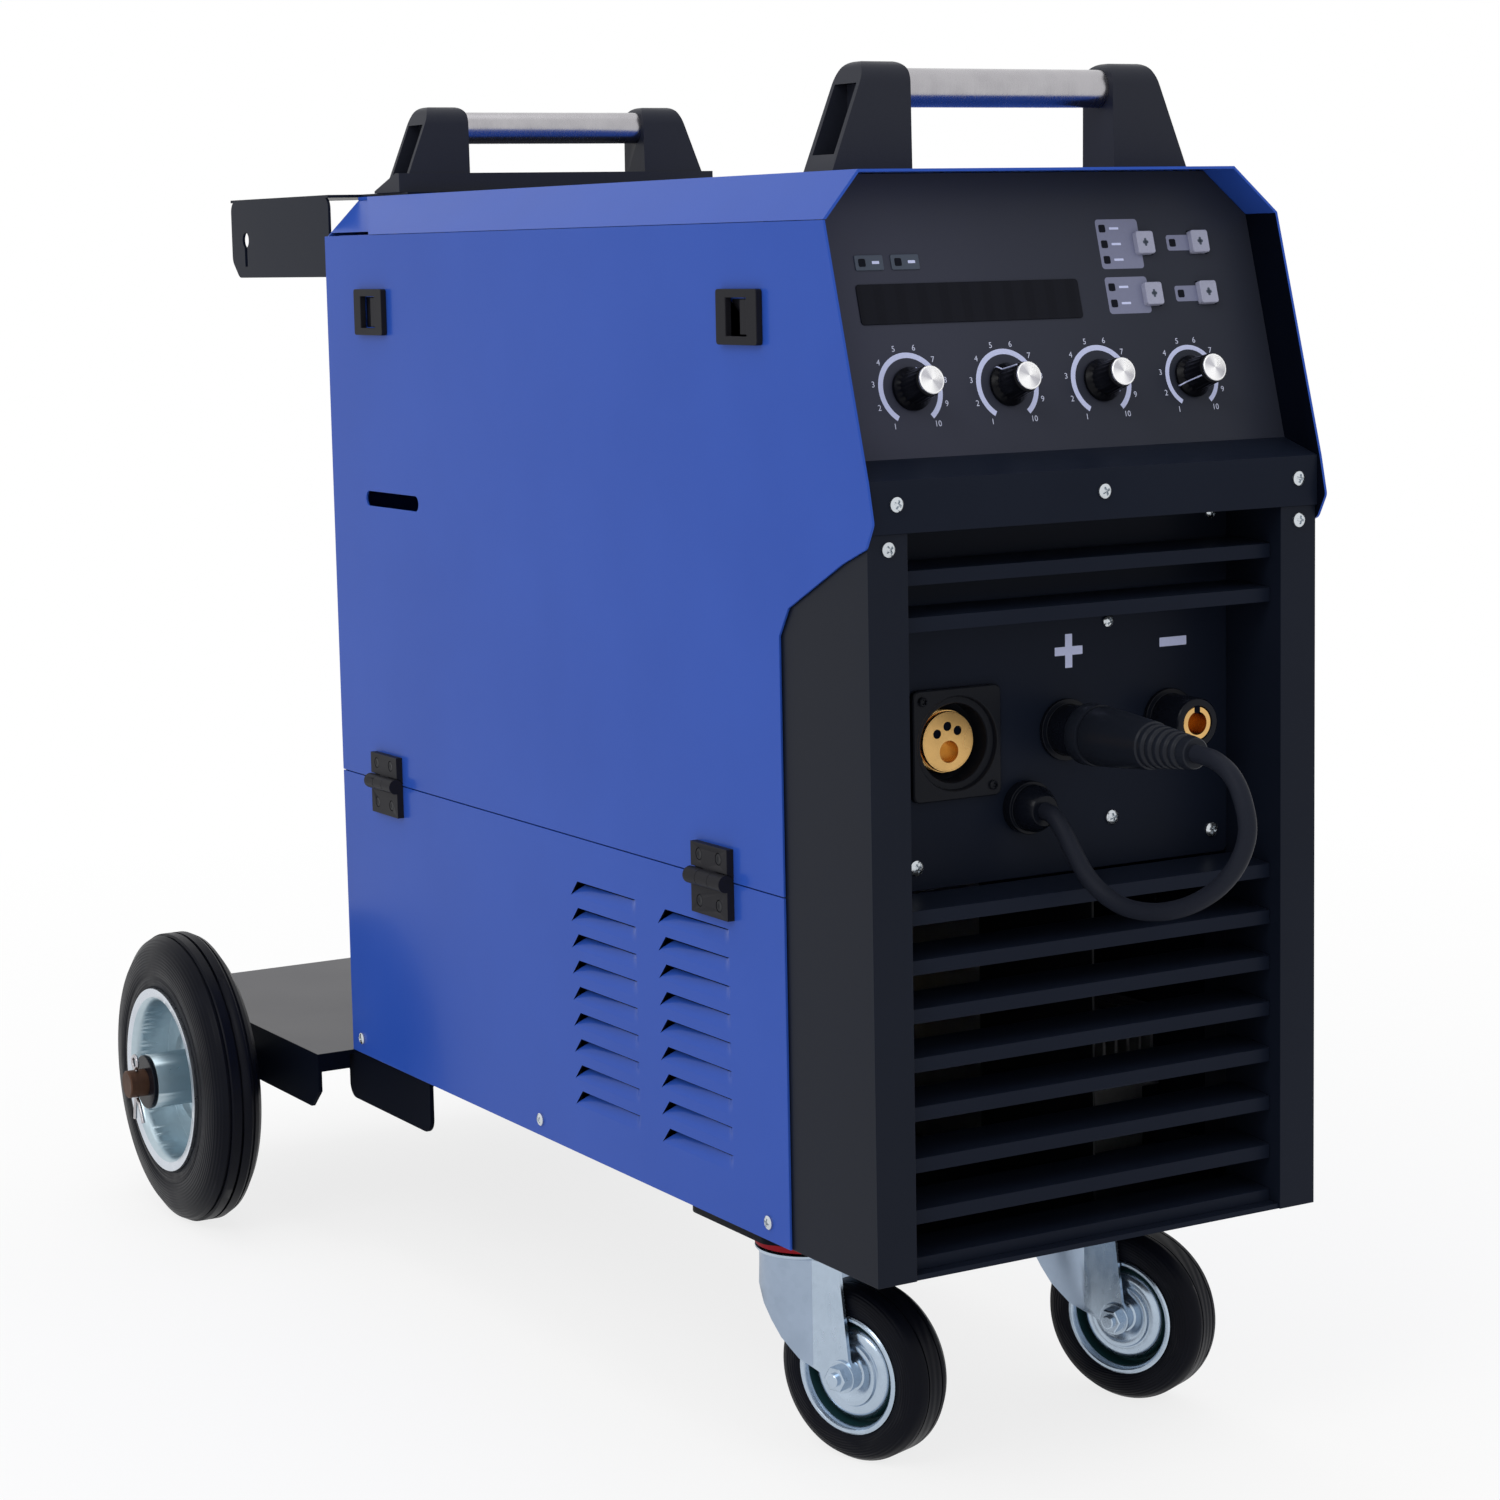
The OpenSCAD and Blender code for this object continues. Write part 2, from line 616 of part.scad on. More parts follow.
module caster_plates() color(BLACK) in_frame() for (s = [-1, 1]) translate([s * caster_x, caster_y, 0]) {
    difference() {
        translate([0, 0, -5]) linear_extrude(5) plate_outline(108, 98, 12);
        for (x = [-41, 41], y = [-36, 36]) rod_z(-9, 1, 4.5, x, y);
    }
    translate([0, 0, -17]) rotate_extrude($fn = 64) polygon([[0, 0], [seal_r - 1, 0], [seal_r, 3],
        [seal_r - 3, 8], [seal_r - 6, 12], [0, 12]]);
    translate([0, 0, -20.5]) cylinder(h = 3.5, r = seal_r);
    rod_z(-30, -20, 7, 0, 0);
    rod_z(-35, -29.4, 11.5, 0, 0);
}

// Side view of the fork about the kingpin: u runs towards the wheel
module fork_side() {
    translate([caster_trail, caster_z]) circle(9.5);
    polygon([[-24, crown_z], [-24, crown_z - 14], [-22.5, crown_z - 24], [-2, caster_z + 16],
        [10, caster_z + 5], [caster_trail - 9, caster_z - 4], [caster_trail + 6, caster_z],
        [caster_trail - 2, crown_z]]);
}

module caster_fork(side, turn) color(ZINC) in_frame() at_caster(side, turn) difference() {
    union() {
        both_sides() along_x(fork_gap, fork_gap + fork_t) mirror([1, 0]) fork_side();
        // crown under the seal
        intersection() {
            translate([0, 0, crown_z - 3]) cylinder(h = 3, r = caster_trail + 2);
            block([-fork_gap - fork_t, -caster_trail - 2, -far], [fork_gap + fork_t, seal_r, far]);
        }
        translate([0, 0, crown_z - 3]) cylinder(h = 3, r = seal_r);
        // axle bolt with its head and nut
        rod_x(-fork_gap - fork_t - 10, fork_gap + fork_t + 7, bolt_r, -caster_trail, caster_z);
        translate([-fork_gap - fork_t - 7.5, -caster_trail, caster_z]) rotate([0, 90, 0])
            cylinder(h = 7.6, r = 7.5, $fn = 6);
        translate([fork_gap + fork_t - 0.1, -caster_trail, caster_z]) rotate([0, 90, 0])
            cylinder(h = 6, r = 7.5, $fn = 6);
    }
    rod_z(crown_z - 4, crown_z + 1, 7 + fit, 0, 0);
}

caster_rim_r = 32;

module at_wheel(side, turn) at_caster(side, turn) translate([0, -caster_trail, caster_z])
    rotate([0, 90, 0]) children();

module caster_rim(side, turn) color(ZINC) in_frame() at_wheel(side, turn) rotate_extrude($fn = 64) {
    w = caster_w / 2;
    polygon([[bolt_r + fit, -w - 1.5], [8, -w - 1.5], [9, -w + 3], [14, -w + 5], [20, -w + 1.5],
        [26, -w + 4], [29, -w + 8], [caster_rim_r - 2, -w + 7], [caster_rim_r - 2, -w + 2],
        [caster_rim_r + 3, -w], [caster_rim_r + 3, 1.5 - w], [caster_rim_r, 3 - w],
        [caster_rim_r, w - 3], [caster_rim_r + 3, w - 1.5], [caster_rim_r + 3, w],
        [caster_rim_r - 2, w - 2], [caster_rim_r - 2, w - 7], [29, w - 8], [26, w - 4],
        [20, w - 1.5], [14, w - 5], [9, w - 3], [8, w + 1.5], [bolt_r + fit, w + 1.5]]);
}

module caster_tyre(side, turn) color(RUBBER) in_frame() at_wheel(side, turn) rotate_extrude($fn = 64) {
    w = caster_w / 2;
    r = caster_d / 2;
    difference() {
        polygon([[caster_rim_r, 3 - w], [caster_rim_r + 3, 1.5 - w], [caster_rim_r + 4, -w],
            [r - 7, -w], [r - 3, -w + 2], [r, -w + 7], [r, w - 7], [r - 3, w - 2], [r - 7, w],
            [caster_rim_r + 4, w], [caster_rim_r + 3, w - 1.5], [caster_rim_r, w - 3]]);
        for (s = [-1, 1]) translate([r - 0.9, s * 6 - 0.5]) square([2, 1]);
    }
}

/* ---- connections ---- */

module euro_flange() color(BLACK) in_frame() difference() {
    union() {
        translate([torch_x, 0, socket_z - 1]) along_y(panel_y - 4, panel_y) plate_outline(58, 62, 4);
        rod_y(panel_y - 1, panel_y + sheet, torch_r + 7, torch_x, socket_z - 1);
        rod_y(panel_y, panel_y + 32, torch_r + 3, torch_x, socket_z - 1);
    }
    rod_y(panel_y - 5, panel_y, torch_r + 7, torch_x, socket_z - 1);
    rod_y(panel_y - 1, panel_y + 33, torch_r + fit, torch_x, socket_z - 1);
    for (s = [-1, 1]) rod_y(panel_y - 6, panel_y + 1, 2.2, torch_x + s * 23, socket_z - 1 - s * 25);
}

module brass_contacts() color(BRASS) in_frame() {
    translate([torch_x, 0, socket_z - 1]) difference() {
        rod_y(panel_y - 0.5, panel_y + 34, torch_r, 0, 0);
        rod_y(panel_y - 2, panel_y + 35, torch_bore / 2, 0, -5);
        for (a = [50, 105, 160]) rod_y(panel_y - 2, panel_y + 12, 2.3, 8.5 * cos(a), 8.5 * sin(a));
    }
    for (x = [plus_x, minus_x]) translate([x, 0, socket_z]) difference() {
        rod_y(socket_front + 2, panel_y + 24, 10, 0, 0);
        rod_y(socket_front, socket_front + 30, socket_bore / 2, 0, 0);
        // keyway with a peaked top
        along_y(socket_front, socket_front + 30) polygon([[-2.3, 4], [-2.3, 7], [0, 9], [2.3, 7],
            [2.3, 4]]);
    }
}

module output_sockets() color(BLACK) in_frame() for (x = [plus_x, minus_x]) translate([x, 0, socket_z])
    rotate([-90, 0, 0]) rotate_extrude() polygon([[10, socket_front], [socket_r - 1, socket_front],
        [socket_r, socket_front + 1], [socket_r, panel_y - 3], [socket_r + 3, panel_y - 3],
        [socket_r + 3, panel_y], [socket_r - 2, panel_y], [socket_r - 2, panel_y + 8],
        [socket_r + 2, panel_y + 8], [socket_r + 2, panel_y + 13], [socket_r - 2, panel_y + 13],
        [socket_r - 2, panel_y + 20], [10, panel_y + 20]]);

module gland(r) rotate_extrude() polygon([[0, -20], [r - 4.5, -20], [r - 3, -18], [r, -12], [r, -7],
    [r + 2, -7], [r + 2, 0], [r - 5, 0], [r - 5, 14], [0, 14]]);

module cable_glands() color(PLASTIC) in_frame() {
    translate([gland_x, panel_y, gland_z]) rotate([-90, 0, 0]) gland(13);
    // mains inlet
    difference() {
        translate([fan_x, case_l, mains_z]) rotate([90, 0, 0]) gland(14);
        rod_y(case_l + 2, case_l + 30, 5, fan_x, mains_z);
    }
}

// Revolved about the socket's axis: collar, sleeve, ribbed end
module polarity_plug() color(PLASTIC) in_frame() translate([plus_x, 0, socket_z]) rotate([90, 0, 0]) {
    s = -socket_front;
    e = -plug_end_y;
    rotate_extrude() polygon([[0, s - 24], [socket_bore / 2 - fit, s - 24], [socket_bore / 2 - fit, s],
        [15.5, s], [17.3, s + 2], [17.3, s + 11], [14.7, s + 14], [14.2, e - 38],
        [13.6, e - 36], [12.2, e - 34], [12.2, e - 31], [13.2, e - 30], [13.0, e - 27], [11.4, e - 26],
        [11.4, e - 23], [12.4, e - 22], [12.1, e - 19], [10.6, e - 18], [10.6, e - 15], [11.5, e - 14],
        [11.2, e - 11], [9.8, e - 10], [9.8, e - 7], [10.4, e - 6], [9.8, e - 1], [9, e], [0, e]]);
}

/* ---- the lead, a tube swept along its route ---- */

lead_sides = 12;

// Catmull-Rom point between b and c at t
function spline(a, b, c, d, t) = 0.5 * ((2 * b) + (c - a) * t + (2 * a - 5 * b + 4 * c - d) * t * t
    + (3 * b - a - 3 * c + d) * t * t * t);
function unit(v) = v / norm(v);

module swept_tube(route, r, sides) {
    last = len(route) - 1;
    ends = concat([2 * route[0] - route[1]], route, [2 * route[last] - route[last - 1]]);
    path = concat([for (i = [0 : last - 1], t = [0, 0.5])
        spline(ends[i], ends[i + 1], ends[i + 2], ends[i + 3], t)], [route[last]]);
    n = len(path);
    // the first and last rings stand square to the gland and the plug
    along = [for (i = [0 : n - 1]) i == 0 ? [0, -1, 0] : i == n - 1 ? [0, 1, 0]
        : unit(path[i + 1] - path[i - 1])];
    rings = [for (i = [0 : n - 1]) let (u = unit(cross(along[i], [1, 0, 0])), v = cross(along[i], u))
        for (k = [0 : sides - 1]) path[i] + r * (u * cos(360 * k / sides) + v * sin(360 * k / sides))];
    walls = [for (i = [0 : n - 2], k = [0 : sides - 1]) let (a = i * sides + k,
        b = i * sides + (k + 1) % sides) each [[a, b, a + sides], [b, b + sides, a + sides]]];
    caps = [[for (k = [sides - 1 : -1 : 0]) k], [for (k = [0 : sides - 1]) (n - 1) * sides + k]];
    polyhedron(rings, concat(walls, caps));
}

module polarity_lead() color(RUBBER) in_frame() swept_tube(LEAD_ROUTE, lead_d / 2, lead_sides);

module screw_head(r) rotate_extrude() intersection() {
    translate([0, 0.8 - r]) circle(r * 1.5);
    square([r, r]);
}

module panel_screws() color(ZINC) in_frame() {
    for (x = [-133, 1.5, 136]) translate([x, -sheet, flange_top - 12.5]) rotate([90, 0, 0]) screw_head(4);
    for (x = [-137.5, 137.5]) translate([x, 0, flange_top - 36]) rotate([90, 0, 0]) screw_head(4);
    for (p = [[113, 400], [-113, 400], [40, 343], [42, 231], [113, 216.5], [-91, 216]])
        translate([p[0], panel_y, p[1]]) rotate([90, 0, 0]) screw_head(3.5);
    both_sides() for (y = [110, case_l - 290, case_l - 17]) translate([-out_x, y, 11])
        rotate([0, -90, 0]) screw_head(4);
}

/* ---- hinges and latches ---- */

knuckle = (hinge_l - 2 * gap) / 3;

// Knuckles of one hinge as spans along Y about its middle
function knuckle_spans(upper) = upper ? [[-knuckle / 2, knuckle / 2]]
    : [[-hinge_l / 2, -knuckle / 2 - gap], [knuckle / 2 + gap, hinge_l / 2]];

module leaf(upper) {
    z0 = upper ? gap : -leaf_h - 1.5;
    z1 = upper ? leaf_h - 0.5 : -gap;
    difference() {
        union() {
            block([barrel_r + 0.2 - leaf_t, -hinge_l / 2, z0], [barrel_r + 0.2, hinge_l / 2, z1]);
            for (s = knuckle_spans(upper)) rod_y(s[0], s[1], barrel_r, 0, 0);
        }
        for (s = knuckle_spans(!upper)) rod_y(s[0] - gap, s[1] + gap, barrel_r + 0.4, 0, 0);
        for (y = [-11, 11]) translate([0, y, upper ? 13 : -14]) rotate([0, 90, 0]) {
            cylinder(h = barrel_r + 1, r = 2);
            translate([0, 0, barrel_r + 0.2 - leaf_t - 1]) cylinder(h = 2.6, r = 3.6);
        }
        if (upper) rod_y(-far, far, hinge_pin_d / 2 + fit, 0, 0);
    }
}

module hinge_lower_leaves() color(PLASTIC) in_frame() for (y = hinge_ys) translate([hinge_x, y, seam_h]) {
    leaf(false);
    rod_y(-hinge_l / 2, hinge_l / 2, hinge_pin_d / 2, 0, 0);
}

module hinge_upper_leaves() color(PLASTIC) in_frame() for (y = hinge_ys) translate([hinge_x, y, seam_h])
    leaf(true);

module door_panel() color(BLUE) in_frame() difference() {
    union() {
        intersection() {
            block([-out_x, nose_y - 1, door_lo], [-in_x, case_l, door_hi]);
            along_x(-far, far) side_outline();
        }
        // folded stiffener on the inside
        difference() {
            block([-in_x - 0.2, side_y + 16, door_lo + 14], [-in_x + 8, case_l - 20, latch_z - 24]);
            block([-in_x - 1, side_y + 16 + sheet, door_lo + 14 + sheet],
                [-in_x + 9, case_l - 20 - sheet, latch_z - 24 - sheet]);
        }
    }
    // sight slot to read how much wire is left
    along_x(-out_x - 1, -in_x + 1) translate([case_l - 95.5, 392.5]) plate_outline(82, 10, 4.9);
    for (y = latch_ys) block([-out_x - 1, y - latch_travel / 2 - 6, latch_z - 10],
        [-in_x + 1, y + latch_travel / 2 + 6, latch_z + 10]);
}

module latch_frames() color(PLASTIC) in_frame() for (y = latch_ys) translate([0, y, latch_z])
    along_x(-out_x - 4, -out_x) difference() {
        plate_outline(latch_size[0], latch_size[1], 2);
        square(window_size, center = true);
    }

// Thumb piece in the window, neck through the door and hook plate behind the keeper
module latch_slider(y) color(PLASTIC) in_frame() translate([0, y - latch_travel / 2, latch_z]) {
    block([-out_x - 3, -3.5, -9.5], [-out_x + gap, 3.5, 9.5]);
    block([-out_x, -5, -8], [-in_x + 1, 5, 8]);
    block([-in_x + gap, -19, -13], [-in_x + 4.4, 19, 13]);
    block([-in_x + 2.4 + gap, -6, 0], [-in_x + 4.4, 6, flange_lo - latch_z + 11]);
}

/* ---- controls ---- */

module knob(i) color(PLASTIC) in_frame() on_console(knob_xs[i - 1], knob_v) difference() {
    union() {
        translate([0, 0, gap]) rotate_extrude() polygon([[0, 0], [knob_r, 0], [knob_r, 2.5],
            [knob_r - 2.5, 5], [knob_r - 3.5, knob_l - 3], [knob_r - 4.2, knob_l - 1.2],
            [knob_r - 4.2, knob_l], [0, knob_l]]);
        translate([0, 0, -10]) cylinder(h = 12, r = shaft_r);
        // retaining shoulder behind the panel
        translate([0, 0, -6 - sheet]) cylinder(h = 3, r = shaft_r + 2);
    }
    // pointer groove
    translate([-0.6, knob_r - 5, 4]) cube([1.2, 6, knob_l]);
}

module key(i) color([0.42, 0.43, 0.53]) in_frame() on_console(key_places[i - 1][0], key_places[i - 1][1]) {
    translate([0, 0, -2 * sheet - gap]) linear_extrude(2 * sheet + gap + key_travel + 2.5)
        plate_outline(key_size[0], key_size[1], 1.5);
    translate([0, 0, -2 * sheet - gap]) linear_extrude(sheet)
        plate_outline(key_size[0] + 3, key_size[1] + 3, 1);
}

/* ---- wire feeder ---- */

module feed_unit() color(STEEL) in_frame() {
    difference() {
        along_x(plate_x, plate_x + 8) translate([roll_y, wire_z + 2])
            plate_outline(plate_size[0], plate_size[1], 6);
        for (y = [roll_y - 15, roll_y + 15]) rod_x(plate_x - 1, plate_x + 9, 3, y, wire_z - 42);
    }
    // gear motor behind the plate, spacers to the dividing wall
    rod_x(plate_x + 8, wall_x - 14, 27, roll_y, drive_z);
    rod_x(wall_x - 14, wall_x - 4, 10, roll_y, drive_z);
    for (sy = [-1, 1], sz = [-1, 1]) rod_x(plate_x + 7.9, wall_x, 5,
        roll_y + sy * (plate_size[0] / 2 - 10), wire_z + 2 + sz * (plate_size[1] / 2 - 10));
    // shaft of the drive roll, pins of the arm and the lever
    rod_x(wire_x - 9, plate_x + 1, 5, roll_y, drive_z);
    rod_x(plate_x - 12, plate_x + 1, 4, arm_pivot[0], arm_pivot[1]);
    rod_x(lever_x - 7, plate_x + 1, 4, lever_pivot[0], lever_pivot[1]);
    // wire guides before and behind the rolls
    difference() {
        union() {
            block([wire_x - 5, 150, wire_z - 7], [plate_x + 1, 166, wire_z + 7]);
            block([wire_x - 5, 214, wire_z - 7], [plate_x + 1, 232, wire_z + 7]);
            rod_y(panel_y + 36, 172, 3, wire_x, wire_z);
            rod_y(209, 262, 3, wire_x, wire_z);
        }
        rod_y(panel_y + 30, 300, 1, wire_x, wire_z);
    }
}

module roll(x, y, z, r, bore) difference() {
    translate([x - roll_w / 2, y, z]) rotate([0, 90, 0]) rotate_extrude($fn = 64)
        polygon([[bore + fit, 0], [r, 0], [r, roll_w / 2 - 0.8], [r - 0.5, roll_w / 2],
            [r, roll_w / 2 + 0.8], [r, roll_w], [bore + fit, roll_w]]);
    for (a = [0 : 90 : 270]) translate([0, y, z]) rotate([a, 0, 0]) rod_x(x - 9, x + 9, 1.2, 0, r - 4.5);
}

module feed_roll() color(STEEL) in_frame() roll(wire_x, roll_y, drive_z, drive_r, 5);
module pressure_roll() color(STEEL) in_frame() roll(wire_x, roll_y, press_z, press_r, 4);

module pressure_arm() color(PLASTIC) in_frame() {
    x0 = plate_x - 8.2;
    x1 = plate_x - gap;
    py = arm_pivot[0];
    pz = arm_pivot[1];
    difference() {
        union() {
            along_x(x0, x1) polygon([[py + 6, pz - 8], [py + 9, pz + 2], [py + 2, pz + 9],
                [roll_y - 38, pz + 9], [roll_y - 43, pz + 4], [roll_y - 43, pz - 5],
                [roll_y - 14, pz - 7], [roll_y - 8, press_z - 6], [roll_y, press_z - 8],
                [roll_y + 8, press_z - 5], [roll_y + 14, pz - 8]]);
            // lug under the tension knob
            block([lever_x - 4, roll_y - 42, pz - 4], [x0 + 1, roll_y - 32, pz + 4]);
        }
        rod_x(x0 - 1, x1 + 1, 4 + fit, py, pz);
    }
    rod_x(wire_x - 8, x0 + 1, 4, roll_y, press_z);
}

module tension_lever() color(PLASTIC) in_frame() translate([lever_x, lever_pivot[0], lever_pivot[1]])
    rotate([lever_lean, 0, 0]) difference() {
        union() {
            rod_x(-4, 4, 8, 0, 0);
            rod_z(4, 60, 4, 0, 0);
            translate([0, 0, 57]) rotate_extrude() polygon([[0, 0], [7, 0], [9, 4], [9, 22],
                [6, 26], [0, 26]]);
        }
        rod_x(-5, 5, 4 + fit, 0, 0);
    }

module wire_spool() color([0.30, 0.30, 0.32]) in_frame() difference() {
    translate([spool_x - spool_w / 2, spool_y, spool_z]) rotate([0, 90, 0]) rotate_extrude($fn = 96)
        polygon([[hub_d / 2 + fit, 0], [spool_d / 2, 0], [spool_d / 2, 3], [spool_d / 2 - 15, 3],
            [spool_d / 2 - 15, spool_w - 3], [spool_d / 2, spool_w - 3], [spool_d / 2, spool_w],
            [hub_d / 2 + fit, spool_w]]);
    for (a = [0 : 60 : 300]) translate([0, spool_y, spool_z]) rotate([a, 0, 0])
        rod_x(spool_x - spool_w, spool_x + spool_w, 12, 0, 90);
}

module spool_post() color(PLASTIC) in_frame() {
    rod_x(wall_x - 6, wall_x, 34, spool_y, spool_z);
    rod_x(post_collar_x, wall_x - 5, 31, spool_y, spool_z);
    rod_x(spool_x - spool_w / 2 - 8, post_collar_x + 1, hub_d / 2, spool_y, spool_z);
    difference() {
        rod_x(spool_x - spool_w / 2 - 12, spool_x - spool_w / 2 - gap, 34, spool_y, spool_z);
        for (a = [0 : 30 : 330]) translate([0, spool_y, spool_z]) rotate([a, 0, 0])
            rod_x(-far, 0, 3, 0, 35);
    }
}

/* ---- power parts ---- */

// Laminated cores, each with a coil on its middle leg
module wound_cores() color([0.45, 0.30, 0.18]) in_frame() for (y = [case_l - 240, case_l - 100]) {
    difference() {
        block([-125, y - 38, base_t], [-5, y + 38, base_t + 112]);
        for (x = [-97, -53]) block([x, y - 39, base_t + 22], [x + 20, y + 39, base_t + 90]);
    }
    translate([-65, y, base_t + 24]) linear_extrude(64) difference() {
        plate_outline(49, 118, 16);
        square([25, 77], center = true);
    }
}

sink_y = 140;
sink_l = 320;
board_l = 290;

module inverter_module() color([0.60, 0.62, 0.64]) in_frame() {
    // finned heat sink on two feet
    for (y = [sink_y + 10, sink_y + sink_l - 30]) block([60, y, base_t], [140, y + 12, base_t + 40]);
    block([55, sink_y, base_t + 40], [145, sink_y + sink_l, base_t + 48]);
    for (x = [58 : 9 : 139]) block([x, sink_y, base_t + 47], [x + 2, sink_y + sink_l, base_t + 90]);
    // power board with capacitors, standing off the dividing wall
    translate([wall_x, sink_y + 10, 0]) {
        block([14, 0, 190], [16, board_l, 420]);
        for (y = [20, board_l - 20], z = [205, 400]) rod_x(sheet, 14.1, 4, y, z);
        for (y = [50 : 50 : board_l - 40]) rod_x(15.9, 66, 17, y, 350);
        block([15.9, 40, 215], [60, 140, 300]);
    }
    // console board, standing off the console
    on_console(0, 0.5225 * console_l) translate([0, 0, -14]) linear_extrude(1.6)
        square([258, 0.586 * console_l], center = true);
    for (x = [-124, 0, 124], v = [0.4, 0.79]) on_console(x, v * console_l) translate([0, 0, -12.5])
        cylinder(h = 12.5 - sheet, r = 3);
}

module fan_shroud() color(PLASTIC) in_frame() translate([fan_x, rear_in, fan_z]) rotate([90, 0, 0]) {
    difference() {
        linear_extrude(fan_t) plate_outline(92, 92, 5);
        translate([0, 0, -1]) cylinder(h = fan_t + 2, r = fan_r + 1.5, $fn = 64);
    }
    for (a = [45 : 90 : 315]) rotate(a) block([8, -2, 0], [fan_r + 2.5, 2, 3]);
    cylinder(h = 3, r = 16);
    cylinder(h = fan_t - 8, r = 2);
}

module fan_rotor() color(BLACK) in_frame() translate([fan_x, rear_in - 3 - gap, fan_z]) rotate([90, 0, 0])
    difference() {
        union() {
            cylinder(h = fan_t - 6, r = 17);
            intersection() {
                cylinder(h = fan_t - 6, r = fan_r);
                for (a = [0 : 360 / 7 : 359]) rotate(a) translate([15, 0, (fan_t - 6) / 2])
                    rotate([38, 0, 0]) translate([0, -12, -1]) cube([40, 24, 2]);
            }
        }
        translate([0, 0, -1]) cylinder(h = fan_t - 8, r = 2 + fit);
    }

module rear_fittings() color(PLASTIC) in_frame() {
    // switch body with its face plate and the stud that the knob turns on
    translate([fan_x, 0, switch_z]) {
        along_y(case_l, case_l + 4) plate_outline(48, 48, 4);
        rod_y(rear_in - 30, case_l + 1, 15, 0, 0);
        rod_y(case_l + 3, case_l + 16, 4, 0, 0);
    }
    // gas valve and its inlet nipple
    block([gas_x - 18, rear_in - 46, gas_z - 16], [gas_x + 18, rear_in, gas_z + 16]);
    translate([gas_x, case_l, gas_z]) rotate([-90, 0, 0]) rotate_extrude() polygon([[0, -sheet - 1],
        [8, -sheet - 1], [8, 0], [11, 0], [11, 6], [6, 6], [6, 10], [4.5, 10], [5.5, 14], [4.5, 16],
        [5.5, 20], [4.5, 22], [4, 26], [0, 26]]);
}

module mains_switch_knob() color(BLACK) in_frame() translate([fan_x, case_l + 4 + gap, switch_z])
    rotate([-90, 0, 0]) difference() {
        union() {
            cylinder(h = 5, r = 17);
            translate([-4, -15, 4]) cube([8, 30, 14]);
        }
        translate([0, 0, -1]) cylinder(h = 13.2, r = 4 + fit);
    }

base_plate();
front_bezel();
front_slats();
connector_panel();
control_panel();
display_window();
hood();
left_lower_panel();
rear_panel();
inner_frame();
handle_posts();
handle_tubes();
cylinder_bracket();
cylinder_tray();
rear_axle();
euro_flange();
brass_contacts();
output_sockets();
cable_glands();
polarity_plug();
polarity_lead();
panel_screws();
hinge_lower_leaves();
feed_unit();
wound_cores();
inverter_module();
fan_shroud();
rear_fittings();
caster_plates();
spool_post();
door_panel();
hinge_upper_leaves();
latch_frames();
latch_slider(latch_ys[0]);  // latch_slider_front
latch_slider(latch_ys[1]);  // latch_slider_rear
knob(1);  // knob_1
knob(2);  // knob_2
knob(3);  // knob_3
knob(4);  // knob_4
key(1);  // key_1
key(2);  // key_2
key(3);  // key_3
key(4);  // key_4
caster_fork(-1, caster_turn_left);  // caster_fork_left
caster_fork(1, caster_turn_right);  // caster_fork_right
caster_rim(-1, caster_turn_left);  // caster_rim_left
caster_rim(1, caster_turn_right);  // caster_rim_right
caster_tyre(-1, caster_turn_left);  // caster_tyre_left
caster_tyre(1, caster_turn_right);  // caster_tyre_right
rear_rim(0);  // rear_rim_left
rear_rim(1);  // rear_rim_right
rear_tyre(0);  // rear_tyre_left
rear_tyre(1);  // rear_tyre_right
wire_spool();
feed_roll();
pressure_roll();
pressure_arm();
tension_lever();
fan_rotor();
mains_switch_knob();
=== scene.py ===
"""Dresses a wire-feed welding machine on a two-wheel cart.

The machine is drawn in its own millimetres: X across, Y from the front frame to the back and Z up
from the lower edge of the case. MachineFrame turns these into the metres of the row frame.
A new shape is mostly a set of rings of points, worked out with numpy and lofted into a mesh.
"""

import json
import logging
import math
from dataclasses import dataclass
from enum import Enum
from typing import Callable, Sequence

import bmesh
import bpy
import numpy as np
from mathutils import Matrix, Vector
from mathutils.geometry import tessellate_polygon


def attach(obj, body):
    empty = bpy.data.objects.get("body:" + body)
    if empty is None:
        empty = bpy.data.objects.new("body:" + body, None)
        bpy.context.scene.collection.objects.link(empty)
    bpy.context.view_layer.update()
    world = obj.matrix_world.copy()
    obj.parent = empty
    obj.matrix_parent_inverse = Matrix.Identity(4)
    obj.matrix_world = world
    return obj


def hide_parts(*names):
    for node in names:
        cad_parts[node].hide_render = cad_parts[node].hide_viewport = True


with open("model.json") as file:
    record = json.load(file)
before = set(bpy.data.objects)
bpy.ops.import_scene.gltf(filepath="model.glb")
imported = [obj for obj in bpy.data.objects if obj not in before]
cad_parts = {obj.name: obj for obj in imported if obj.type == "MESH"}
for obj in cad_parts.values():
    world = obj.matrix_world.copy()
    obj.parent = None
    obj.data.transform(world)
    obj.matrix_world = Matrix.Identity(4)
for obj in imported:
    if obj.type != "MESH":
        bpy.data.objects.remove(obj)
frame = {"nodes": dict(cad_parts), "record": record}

log = logging.getLogger("welder")

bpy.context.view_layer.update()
NODE_BODY = {node: body for body, nodes in frame["record"]["behaviour"]["bodies"].items() for node in nodes}
FULL_TURN = 2 * math.pi
WHITE = (1.0, 1.0, 1.0, 1.0)

Pair = tuple[float, float]
Colour = tuple[float, float, float]
Shape = tuple[np.ndarray, list]
Piece = bpy.types.Object
Material = bpy.types.Material


class Side(Enum):
    """The machine's left and right, each with the sign of its x."""

    LEFT = -1
    RIGHT = 1

    @property
    def word(self) -> str:
        """The side as it stands in names."""
        return self.name.lower()


# ---------------------------------------------------------------- frames


